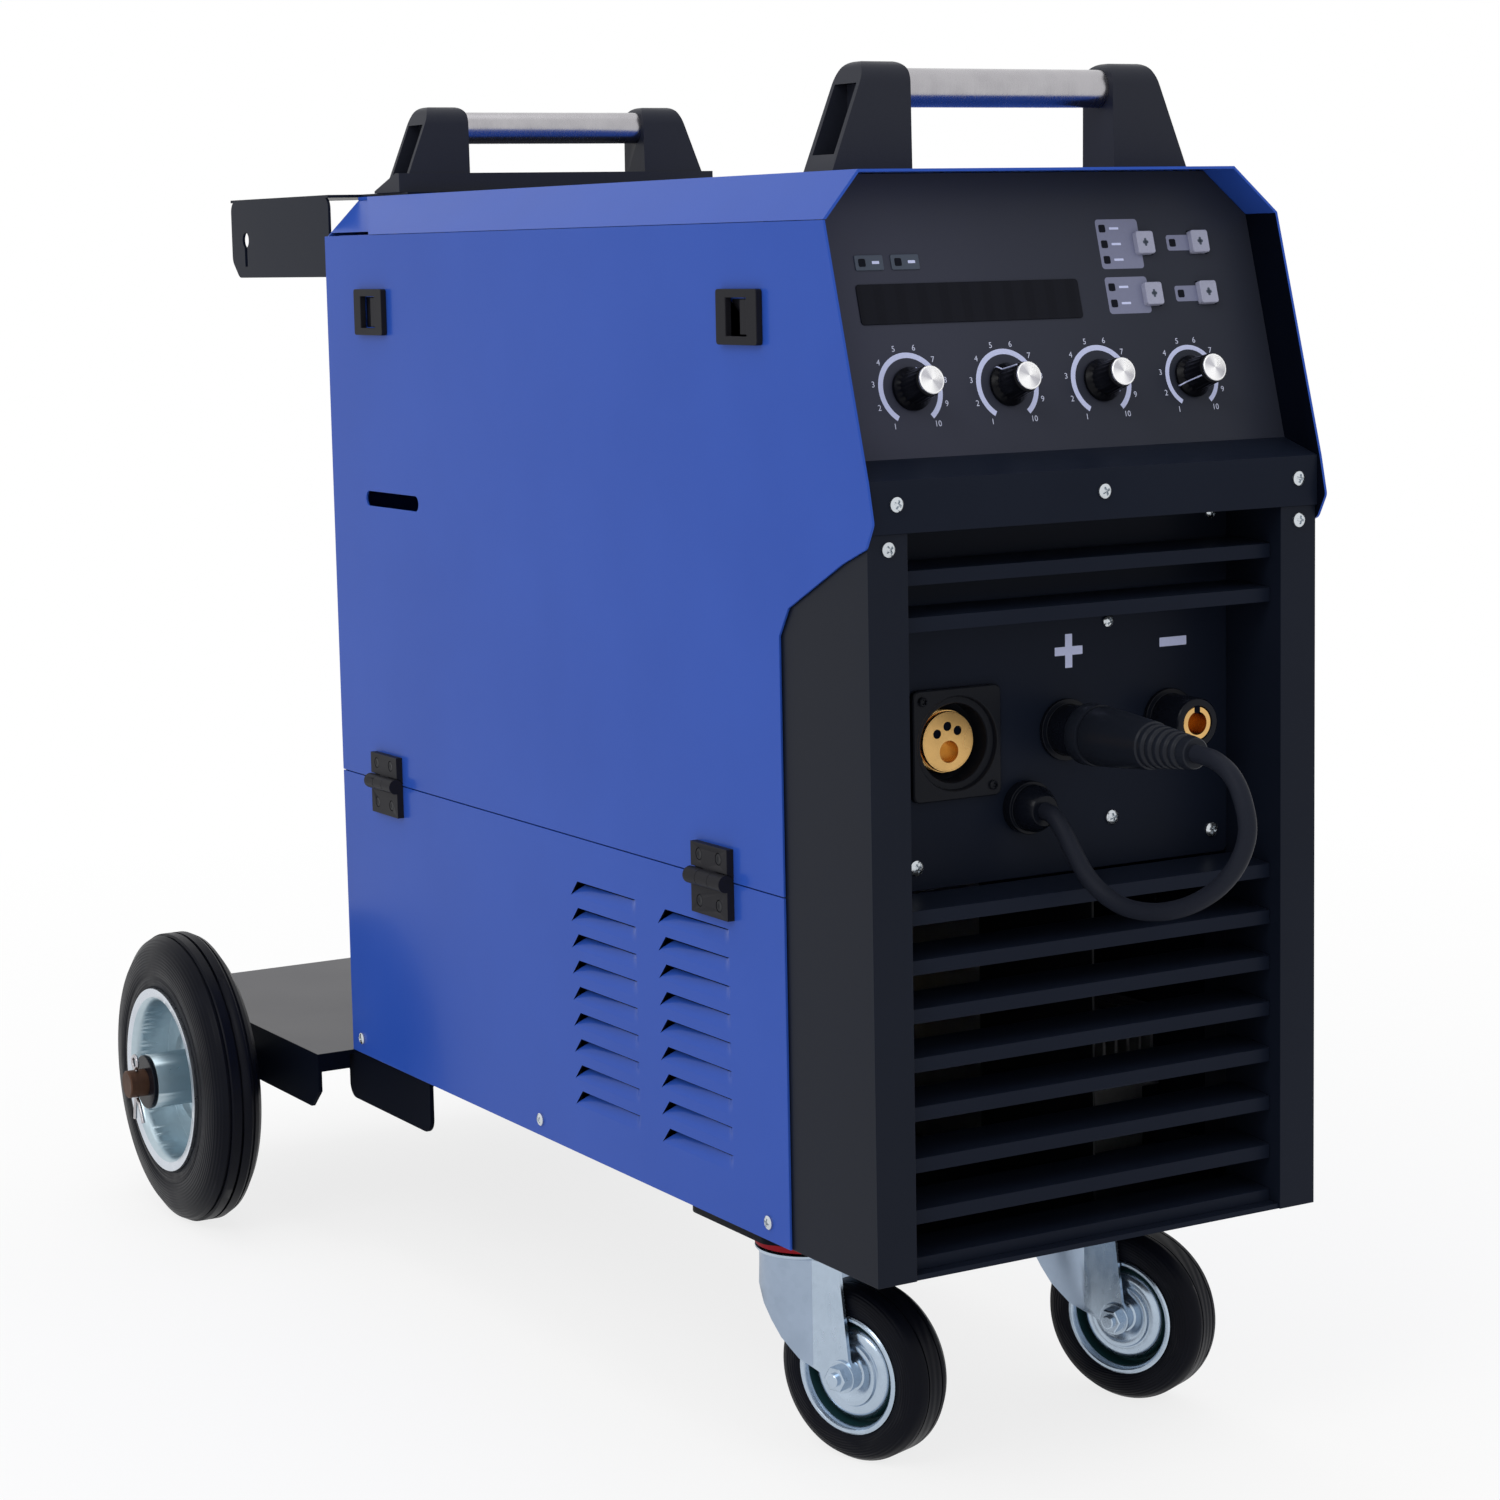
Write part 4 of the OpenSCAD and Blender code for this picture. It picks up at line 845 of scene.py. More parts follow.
@dataclass(frozen=True)
class SpunCap:
    """Aluminium cap turned in fine rings, with the bow-tie shine of spun metal painted into its colour."""

    name: str
    at: Pair
    pitch: float = 0.55
    rim: float = 6.9
    dark: Colour = (0.52, 0.52, 0.56)
    bright: Colour = (0.97, 0.97, 0.98)

    def material(self) -> Material:
        """Builds the cap: rings are a sine of the distance from the cap's own middle on the console. Its
        colour is a painted highlight: bright in two opposite sectors and outside rim, darker between.

        Returns:
            The material.
        """
        sheet = NodeSheet(self.name)
        x, y, z = sheet.axes()
        up_y, up_z = CONSOLE.up.tolist()
        v = (y - CONSOLE.foot[0]) * up_y + (z - CONSOLE.foot[1]) * up_z
        radius = sheet.distance(x, v, self.at)
        rings = (radius * (FULL_TURN / self.pitch)).sine()
        around = (v - self.at[1]).angle_to(x - self.at[0])
        # Painted highlight: bright sectors by the angle round the middle, and a bright edge outside rim.
        gleam = abs((around + 0.7).sine()).ramp(0.25, 0.95).either(radius > self.rim)
        return sheet.finish(Base_Color=sheet.mix(gleam, self.dark, self.bright), Metallic=1.0,
                            Roughness=0.22 + 0.1 * sheet.noise(6.0), Normal=sheet.bump(rings, 0.035))


@dataclass(frozen=True)
class Zone:
    """One plain finish, and where on its node it lies: a mask made from the three axes."""

    colour: Colour
    roughness: float
    metallic: float
    mask: Callable | None = None


@dataclass(frozen=True)
class Zoned:
    """Several plain finishes on one node: the first everywhere, the others in their own zones."""

    name: str
    zones: tuple[Zone, ...]
    grain: float = 3.0
    shine: float = 0.3

    def material(self) -> Material:
        """Builds the material: each zone's mask is 1 inside it.

        Returns:
            The material.
        """
        sheet = NodeSheet(self.name)
        axes = sheet.axes()
        mottle = sheet.noise(self.grain, 3.0)
        base, *others = self.zones
        colour = sheet.mix(mottle * 0.5, base.colour, tuple(c * 0.7 for c in base.colour))
        rough: Wire | float = base.roughness + 0.12 * (mottle - 0.5)
        metal: Wire | float = base.metallic
        for zone in others:
            mask = zone.mask(*axes)
            theirs = sheet.mix(mottle * 0.5, zone.colour, tuple(c * 0.7 for c in zone.colour))
            colour = sheet.mix(mask, colour, theirs)
            rough = rough * (1.0 - mask) + mask * (zone.roughness + 0.1 * (mottle - 0.5))
            metal = metal * (1.0 - mask) + mask * zone.metallic
        return sheet.finish(Base_Color=colour, Roughness=rough, Metallic=metal,
                            Normal=sheet.bump(mottle, 0.02), Specular_IOR_Level=self.shine)


class Paints:
    """The finishes that several pieces share, built once."""

    def __init__(self) -> None:
        """Builds the paints, the mouldings, the metals and the prints."""
        self.blue = PowderCoat("blue_powder_coat", (0.0235, 0.0770, 0.400), (0.0275, 0.0845, 0.425),
                               0.24, 0.07, 0.05).material()
        self.black = PowderCoat("black_powder_coat", (0.0068, 0.0096, 0.0188), (0.0082, 0.0114, 0.0215),
                                0.36, 0.055).material()
        # Near-black paint for places that lie in shade: a painted shade on the hood's inner walls, the slits,
        # the tray's sides and holes.
        self.deep = PowderCoat("shaded_powder_coat", (0.0022, 0.0034, 0.0080), (0.0030, 0.0044, 0.0100),
                               0.5, 0.015).material()
        self.frame = PowderCoat("frame_powder_coat", (0.0060, 0.0085, 0.0165), (0.0072, 0.0100, 0.0190),
                                0.40, 0.09).material()
        # A paler copy of the tray's black for its top faces: painted light.
        self.tray = PowderCoat("tray_powder_coat", (0.024, 0.024, 0.030), (0.034, 0.034, 0.041),
                               0.38, 0.2).material()
        self.console = ConsoleFilm().material()
        self.window = Lens().material()
        self.handle = Moulding("handle_plastic", (0.0150, 0.0170, 0.0260), 0.42, 0.14).material()
        self.fitting = Moulding("fitting_plastic", (0.0060, 0.0070, 0.0105), 0.34, 0.1).material()
        self.socket = Moulding("socket_plastic", (0.0038, 0.0048, 0.0085), 0.24, 0.12, 1.4, 0.008).material()
        self.knob = Moulding("knob_plastic", (0.0016, 0.0018, 0.0034), 0.3, 0.10, depth=0.01).material()
        self.key = Moulding("key_plastic", (0.285, 0.295, 0.395), 0.34, 0.4, depth=0.006).material()
        self.plug = Moulding("plug_rubber", (0.0085, 0.0105, 0.0165), 0.36, 0.14, 0.9, 0.012).material()
        self.latch = Moulding("latch_plastic", (0.0100, 0.0100, 0.0135), 0.45, 0.08).material()
        self.lead = Moulding("lead_rubber", (0.0110, 0.0130, 0.0205), 0.5, 0.07, 0.8).material()
        # Dark teal for the caster rims' gap: a painted shade.
        self.gap = Moulding("rim_gap_zinc", (0.010, 0.038, 0.044), 0.4, 0.3).material()
        self.lamp = Moulding("unlit_lamp", (0.005, 0.006, 0.011), 0.3, 0.04, depth=0.002).material()
        self.zinc = ZincPlate("zinc_plate").material()
        self.screw = ZincPlate("screw_zinc", (0.62, 0.66, 0.70), (0.42, 0.45, 0.48), 0.22).material()
        self.rim = ZincPlate("rim_zinc", (0.47, 0.565, 0.62), (0.36, 0.45, 0.50), 0.32).material()
        # Paler zinc for the rear rims' rolled lip: a painted highlight.
        self.lip = ZincPlate("rolled_lip_zinc", (0.62, 0.66, 0.72), (0.52, 0.56, 0.62), 0.30).material()
        # Darker zinc for the fork legs behind the crease: painted shade.
        self.skirt = ZincPlate("fork_skirt_zinc", (0.36, 0.44, 0.56), (0.28, 0.35, 0.45), 0.34).material()
        self.grip = TurnedMetal("brushed_grip", (0.46, 0.45, 0.47), (0.36, 0.35, 0.37), 0.26,
                                (1.0, 30.0, 30.0)).material()
        self.steel = TurnedMetal("ground_steel", (0.60, 0.60, 0.62), (0.42, 0.42, 0.44), 0.3,
                                 (1.0, 20.0, 20.0)).material()
        self.axle = TurnedMetal("browned_axle", (0.115, 0.062, 0.042), (0.045, 0.026, 0.020), 0.55,
                                (1.0, 6.0, 6.0), 2.0, 0.05).material()
        self.brass = TurnedMetal("turned_brass", (0.72, 0.45, 0.17), (0.50, 0.30, 0.11), 0.24,
                                 (20.0, 1.0, 20.0)).material()
        self.ink = Print("pale_print", (0.52, 0.56, 0.80)).material()
        self.number = Print("number_print", (0.50, 0.53, 0.68)).material()
        self.plate = Print("key_field_print", (0.165, 0.176, 0.268)).material()
        self.slate = Print("slate_print", (0.044, 0.058, 0.086)).material()


def dress(piece: Piece, material: Material) -> Piece:
    """Gives a piece one material and reports it.

    Args:
        piece: the piece.
        material: its only material.

    Returns:
        The same piece.
    """
    piece.data.materials.clear()
    piece.data.materials.append(material)
    log.info("%s: %s", piece.name, material.name)
    return piece


def repaint(piece: Piece, material: Material, where: Callable) -> None:
    """Gives some of a piece's faces another material.

    Args:
        piece: a piece that has its first material.
        material: the other material.
        where: a function of the faces' middles, in machine millimetres, and of their normals.
    """
    faces = piece.data.polygons
    middle, normal = np.zeros(len(faces) * 3), np.zeros(len(faces) * 3)
    faces.foreach_get("center", middle)
    faces.foreach_get("normal", normal)
    chosen = np.asarray(where(MACHINE.own(middle.reshape(-1, 3)), normal.reshape(-1, 3)))
    piece.data.materials.append(material)
    faces.foreach_set("material_index", chosen.astype(np.int32) * (len(piece.data.materials) - 1))


def add(name: str, shapes: Sequence[Shape], material: Material, body: str = "root",
        node: str | None = None, sharp: float = 32.0) -> Piece:
    """Makes a piece, dresses it and lets it ride.

    Args:
        name: the piece's name.
        shapes: the closed shapes that it is made of.
        material: its finish.
        body: the body that it rides on.
        node: the CAD node that it stands for, if there is one.
        sharp: edges that turn by more than this many degrees stay sharp.

    Returns:
        The new piece.
    """
    piece = piece_from(name, shapes, sharp)
    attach(piece, body)
    if node is not None:
        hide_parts(node)
    return dress(piece, material)


# ---------------------------------------------------------------- studio


@dataclass
class Studio:
    """Camera, floor and soft light."""

    eye: tuple[float, float, float] = (-1.1093, -1.9847, 0.6974)
    yaw: float = 30.0
    pitch: float = 7.6
    roll: float = -1.2
    lens: float = 82.2
    film: float = 36.0
    shift: Pair = (0.0231, -0.0295)
    floor_side: float = 30.0
    floor_colour: tuple = (0.90, 0.90, 0.90, 1.0)
    floor_fade: Pair = (500.0, 1900.0)
    glow: float = 0.80
    daylight: float = 0.80
    aim: tuple[float, float, float] = (0.0, 0.0, 0.4)
    lamps: tuple = (("key", (-2.6, -1.6, 2.8), 1.6, 26.0), ("top", (0.0, 0.2, 3.2), 2.0, 16.0))

    def camera(self) -> None:
        """Sets the camera from its own directions: right and up are turned by the roll."""
        yaw, pitch, roll = (math.radians(a) for a in (self.yaw, self.pitch, self.roll))
        ahead = Vector((math.sin(yaw) * math.cos(pitch), math.cos(yaw) * math.cos(pitch), -math.sin(pitch)))
        level = Vector((math.cos(yaw), -math.sin(yaw), 0.0))
        over = level.cross(ahead)
        right = level * math.cos(roll) + over * math.sin(roll)
        up = over * math.cos(roll) - level * math.sin(roll)
        data = bpy.data.cameras.new("camera")
        data.lens, data.sensor_width = self.lens, self.film
        data.shift_x, data.shift_y = self.shift
        camera = link("camera", data)
        camera.matrix_world = Matrix.Translation(self.eye) @ Matrix((right, up, -ahead)).transposed().to_4x4()
        bpy.context.scene.camera = camera

    def floor(self) -> None:
        """A wide pale floor, which fades to white away from the machine."""
        s = self.floor_side
        mesh = bpy.data.meshes.new("floor")
        mesh.from_pydata([(-s, -s, 0), (s, -s, 0), (s, s, 0), (-s, s, 0)], [], [(0, 1, 2, 3)])
        sheet = NodeSheet("floor_paint")
        x, y, _ = sheet.axes()
        away = sheet.distance(x, y, (0.0, MACHINE.mid_y)).ramp(*self.floor_fade)
        paint = sheet.node("ShaderNodeBsdfDiffuse", inputs={"Color": self.floor_colour})
        light = sheet.node("ShaderNodeEmission", inputs={"Color": WHITE, "Strength": 1.0})
        share = sheet.seen() * (self.glow + (1.0 - self.glow) * away)
        sheet.output(sheet.node("ShaderNodeMixShader", inputs={0: share, 1: paint, 2: light}))
        mesh.materials.append(sheet.material)
        link("floor", mesh)

    def world(self) -> None:
        """An even pale light, with a white background where the camera, gloss or glass sees it."""
        world = bpy.data.worlds.new("studio")
        bpy.context.scene.world = world
        sheet = NodeSheet(world)
        strength = self.daylight + (1.0 - self.daylight) * sheet.seen()
        back = sheet.node("ShaderNodeBackground", inputs={"Color": WHITE, "Strength": strength})
        sheet.output(back, "ShaderNodeOutputWorld")

    def lamp(self, name: str, at: Sequence[float], size: float, power: float) -> None:
        """A square soft lamp that is aimed at the machine.

        Args:
            name: the lamp's name.
            at: its place in metres.
            size: its side.
            power: its power in watts.
        """
        data = bpy.data.lights.new(name, "AREA")
        data.size, data.energy = size, power
        lamp = link(name, data)
        lamp.location = at
        lamp.rotation_euler = (Vector(self.aim) - Vector(at)).to_track_quat("-Z", "Y").to_euler()

    def build(self) -> None:
        """Builds the studio."""
        self.camera()
        self.floor()
        self.world()
        for lamp in self.lamps:
            self.lamp(*lamp)
        bpy.context.scene.view_settings.view_transform = "Standard"


# ---------------------------------------------------------------- polarity lead


@dataclass
class PolarityLead:
    """The short welding lead from its gland to the plug in the plus socket."""

    diameter: float = 10.0
    steps: int = 6
    route: tuple = ((-18, 28, 243), (-18, 20, 241), (-17, 13, 234), (-15, 7, 224), (-12, 0, 212),
                    (-8, -10, 202), (-4, -24, 196), (0, -40, 195), (4, -57, 198), (8, -74, 205),
                    (11, -90, 216), (13, -102, 230), (14, -108, 246), (13, -106, 262), (12, -98, 275),
                    (11, -85, 282), (10, -70, 284))
    plug_at: tuple[float, float, float] = (10.0, 0.0, 284.0)
    plug_end: float = 70.0
    plug_front: float = -20.0
    ribs: float = 5.0
    flat: float = 1.6

    def line(self) -> np.ndarray:
        """The route as a smooth line: a Catmull-Rom curve through the points, steps to a stretch.

        Returns:
            Rows of (x, y, z) in machine millimetres.
        """
        way = np.array(self.route, float)
        ends = np.vstack([2 * way[0] - way[1], way, 2 * way[-1] - way[-2]])
        a, b, c, d = ends[:-3, None], ends[1:-2, None], ends[2:-1, None], ends[3:, None]
        t = np.linspace(0, 1, self.steps, endpoint=False)[None, :, None]
        curve = 0.5 * (2 * b + (c - a) * t + (2 * a - 5 * b + 4 * c - d) * t**2
                       + (3 * b - a - 3 * c + d) * t**3)
        return np.vstack([curve.reshape(-1, 3), way[-1]])

    def plug(self, paints: Paints) -> Piece:
        """The plug: a collar, a long sleeve with two flats and a ribbed tail that tapers to the lead.

        A rib's share of the tail's radius is a cubed raised cosine. A flat takes up to 1.6 off the
        radius where the cosine of the angle is over 0.75.

        Args:
            paints: the shared finishes.

        Returns:
            The new piece.
        """
        front, end = self.plug_front, self.plug_end
        tail = np.linspace(end - 34, end - 5, 90)
        share = (tail - tail[0]) / (tail[-1] - tail[0])
        ribbed = 12.4 - 3.2 * share - 1.25 * (0.5 - 0.5 * np.cos(FULL_TURN * self.ribs * share)) ** 3.0
        profile = [(front - 24, 0), (front - 24, 5.6), (front - 23, 6.45), (front, 6.45), (front, 14.8),
                   (front - 6, 14.8), (front - 6, 16.3), (front - 5.5, 17.0), (front - 4.6, 17.4),
                   (front + 3.8, 17.4), (front + 4.8, 17.0), (front + 5.0, 15.2), (front + 6.4, 15.2),
                   (front + 6.6, 16.4), (front + 7.6, 16.7), (front + 22, 15.9), (end - 37, 13.2),
                   (end - 36, 12.3), *zip(tail, ribbed), (end - 3, 8.9), (end - 0.6, 8.5), (end, 7.8),
                   (end, 0)]

        def flats(a: np.ndarray, turn: np.ndarray) -> np.ndarray:
            """Extra radius of the two flats on the sleeve."""
            on_sleeve = (a > front + 8) & (a < end - 38)
            return -self.flat * np.clip(np.abs(np.cos(turn)) - 0.75, 0, 1) / 0.25 * on_sleeve

        return add("polarity_plug_body", [turned(profile, self.plug_at, (0, -1, 0), ripple=flats)],
                   paints.plug, node="polarity_plug")

    def build(self, paints: Paints) -> None:
        """Args:
            paints: the shared finishes.
        """
        line = self.line()
        lead = add("polarity_lead_sheath", [tube(line, self.diameter / 2, 28, ((0, -1, 0), (0, 1, 0)))],
                   paints.lead, node="polarity_lead")
        plug = self.plug(paints)
        line = MACHINE.row(line)


# ---------------------------------------------------------------- sheet metal


@dataclass
class Louvres:
    """Louvres pressed into a side sheet. Each flap hangs on at its foot and is open at its top and rear."""

    side: Side
    rows: int = 9
    top: float = 172.6
    pitch: float = 16.46
    starts: tuple = (148.7, 258.5)
    length: float = 73.9
    slant: float = 9.3
    height: float = 10.0
    depth: float = 5.5
    outer: float = 151.8
    sheet: float = 1.5
    leaf: float = 1.3
    field: tuple = (138.0, 350.0, 22.0, 177.0)
    screen: Pair = (6.75, 7.6)
    cut: Pair = (-2.2, 8.0)

    def open_sheet(self, piece: Piece, sharp: float) -> None:
        """Takes the field of the louvres out of the sheet.

        Args:
            piece: the sheet.
            sharp: edges that turn by more than this many degrees stay sharp.
        """
        front, back, low, high = self.field
        near, far = sorted(self.side.value * (self.outer + reach) for reach in self.cut)
        cut_out(piece, (near, front, low), (far, back, high), sharp)

    def at_depth(self, depth: float) -> Callable:
        """A function that places rows of (y, z) at a depth under the sheet's face."""
        x = self.side.value * (self.outer - depth)
        return lambda rows: np.column_stack([np.full(len(rows), x), rows])

    def flap(self, start: float, top: float) -> Shape:
        """One flap.

        At the share s of the length from its front and t of the height from its foot it lies
        d t^1.5 under the face, where d = depth (0.25 + 0.75 s) min(1, 16 s).

        Args:
            start: the y of its front end.
            top: the z of the opening's top.

        Returns:
            The points as rows and the faces as lists.
        """
        s = np.concatenate([np.linspace(0, 0.0625, 5), np.linspace(0.1, 1, 15)])[:, None]
        t = np.linspace(0, 1, 9)[None, :]
        deep = self.depth * (0.25 + 0.75 * s) * np.minimum(1, 16 * s)
        y = start + s * (self.length + self.slant * (1 - t))
        z = top - self.height + (self.height - 0.6 * np.minimum(1, 16 * s) - 0.42 * deep) * t
        under = deep * t**1.5
        outside = np.stack([self.side.value * (self.outer - under), y, z], axis=-1)
        inside = np.stack([self.side.value * (self.outer - under - self.leaf), y, z - 0.15], axis=-1)
        return lofted(np.concatenate([outside, inside[:, ::-1]], axis=1))

    def build(self, paints: Paints) -> None:
        """Builds the pierced field and its flaps as one piece, and a near-black sheet behind them that paints
        the shade seen through the slits.

        Args:
            paints: the shared finishes.
        """
        front, back, low, high = self.field
        outline = np.array([[front, low], [back, low], [back, high], [front, high]])
        spots = [(start, self.top - row * self.pitch) for start in self.starts for row in range(self.rows)]
        holes = [np.array([[start, top], [start, top - self.height],
                           [start + self.length + self.slant, top - self.height], [start + self.length, top]])
                 for start, top in spots]
        inset = outline + np.array([[4, 4], [-4, 4], [-4, -2], [4, -2]])
        add(f"dust_screen_{self.side.word}", [pierced(inset, [], *map(self.at_depth, self.screen))],
            paints.deep)
        plate = pierced(outline, holes, self.at_depth(0.0), self.at_depth(self.sheet))
        piece = add(f"louvres_{self.side.word}", [plate, *(self.flap(*spot) for spot in spots)],
                    paints.blue)
        # Faces that don't look out, the slits' walls and the flaps' backs and edges, get near-black painted
        # shade.
        repaint(piece, paints.deep, lambda middle, normal: normal[:, 0] * self.side.value < 0.3)


@dataclass
class Casework:
    """The folded and painted sheets of the case and the cart."""

    edge: float = 0.45
    fold: float = 14.0
    flange_top: float = 442.5
    dark_y: float = 180.0
    wall_x: float = 148.0
    wall_top: float = 430.0

    def build(self, paints: Paints) -> None:
        """Softens and paints every sheet: blue outside, black on the front and the cart, and near-black
        painted shade inside the hood, on the tray's sides and behind the slats.

        Args:
            paints: the shared finishes.
        """
        for node, side in (("hood", Side.RIGHT), ("left_lower_panel", Side.LEFT), ("rear_panel", None),
                           ("door_panel", None)):
            piece = softened(node, self.edge, sharp=self.fold)
            if side is not None:
                louvres = Louvres(side)
                louvres.open_sheet(piece, self.fold)
                louvres.build(paints)
            dress(piece, paints.blue)
            if side is Side.RIGHT:
                # The hood's inner walls get near-black painted shade.
                repaint(piece, paints.deep, self.inside)
        for node in ("front_slats", "connector_panel", "base_plate", "cylinder_bracket"):
            dress(softened(node, self.edge, sharp=self.fold), paints.black)
        dress(softened("front_bezel", self.edge, sharp=self.fold), paints.frame)
        console = dress(softened("control_panel", 0.6), paints.console)
        repaint(console, paints.black, lambda middle, normal: middle[:, 2] < self.flange_top)
        # The tray is one black part: its sides get near-black painted shade and its top faces a paler
        # painted-light copy.
        tray = dress(softened("cylinder_tray", self.edge), paints.deep)
        repaint(tray, paints.tray, lambda middle, normal: normal[:, 2] > 0.5)
        # The frame is galvanised. Behind the slats it is painted near black as painted shade.
        galvanised = Zoned("galvanised_sheet",
                           (Zone((0.50, 0.53, 0.56), 0.4, 0.9),
                            Zone((0.004, 0.005, 0.008), 0.6, 0.0, lambda x, y, z: y < self.dark_y)), 2.0)
        dress(softened("inner_frame", 0.0), galvanised.material())

    def inside(self, middle: np.ndarray, normal: np.ndarray) -> np.ndarray:
        """The hood's inner faces: those of its walls that look to the middle plane, which get near-black
        painted shade.
        """
        walls = (np.abs(middle[:, 0]) > self.wall_x) & (middle[:, 2] < self.wall_top)
        return walls & (normal[:, 0] * np.sign(middle[:, 0]) < -0.5)


# ---------------------------------------------------------------- console


@dataclass
class Dial:
    """One dial: its knob and the scale printed round it."""

    number: int
    u: float
    pointer: float
    scale_r: float
    band: float
    v: float = 37.5
    span: Pair = (236.0, -54.0)
    skirt: float = 12.0
    top: float = 21.8
    flutes: int = 20
    print_rise: float = 0.06

    @property
    def name(self) -> str:
        """The dial's name, which is also its body's."""
        return f"dial_{self.number}"

    def turned_up(self, profile: Sequence, steps: int, ripple: Callable | None = None) -> Shape:
        """A shape turned about the dial's own axis, which stands square on the console."""
        return turned(profile, (self.u, self.v, 0.0), (0, 0, 1), steps, ripple, CONSOLE.place)

    def knob(self, paints: Paints) -> None:
        """The fluted body and its spun cap.

        The body's radius is the profile's, less a shallow flute: a raised cosine of 20 times the angle.

        Args:
            paints: the shared finishes.
        """
        top = self.top
        body = [(-9.5, 0), (-9.5, 2.9), (0.3, 3.0), (0.35, self.skirt - 0.3), (0.8, self.skirt),
                (2.4, self.skirt), (3.2, self.skirt - 0.6), (5.0, 9.6),
                *((w, 9.5 - 1.0 * (w - 5.4) / 13.0) for w in np.linspace(5.4, top - 3.4, 8)),
                (top - 2.9, 8.2), (top - 2.3, 7.0), (top - 1.6, 6.9), (top - 1.6, 0)]

        def fluted(a: np.ndarray, turn: np.ndarray) -> np.ndarray:
            """Extra radius of the flutes on the knob's grip."""
            return -0.32 * (0.5 + 0.5 * np.cos(self.flutes * turn)) * ((a > 5.2) & (a < top - 3.2))

        add(f"{self.name}_body", [self.turned_up(body, 120, fluted)], paints.knob,
            self.name, f"knob_{self.number}")
        cap = [(top - 1.7, 0), (top - 1.7, 7.3), (top - 1.5, 7.7), (top - 0.35, 7.7), (top - 0.1, 7.4),
               (top - 0.1, 6.9), (top, 6.7), (top, 0)]
        shine = SpunCap(f"spun_cap_{self.number}", (self.u, self.v)).material()
        add(f"{self.name}_cap", [self.turned_up(cap, 64)], shine, self.name)

    def pointer_line(self, paints: Paints) -> None:
        """A fine white line up the side of the knob and over the skirt.

        Args:
            paints: the shared finishes.
        """
        turn = math.radians(self.pointer)
        out = np.array([math.cos(turn), math.sin(turn)])
        across = np.array([-out[1], out[0]]) * 0.35
        rings = []
        for radius, height in ((12.1, 0.9), (12.1, 2.6), (9.7, 5.2), (8.75, self.top - 3.4)):
            outer, inner = (np.array([self.u, self.v]) + out * r for r in (radius, radius - 1.0))
            square = [outer - across, outer + across, inner + across, inner - across]
            rings.append([[*corner, height] for corner in square])
        add(f"{self.name}_line", [lofted(CONSOLE.place(np.array(rings)))], paints.ink,
            self.name)

    def scale(self) -> tuple[Shape, list[Shape]]:
        """The arc and the ten numbers round it.

        Returns:
            The arc's shape and the shapes of the numbers.
        """
        arc = band_on(CONSOLE, (self.u, self.v), self.scale_r, self.band, self.span, self.print_rise)
        numbers = []
        for value in range(1, 11):
            turn = math.radians(self.span[0] + (self.span[1] - self.span[0]) * (value - 1) / 9)
            reach = self.scale_r + (5.2 if value in (1, 10) else 4.6)
            at = (self.u + reach * math.cos(turn), self.v + reach * math.sin(turn))
            numbers.append(lettering(str(value), 4.6, at, CONSOLE, self.print_rise))
        return arc, numbers


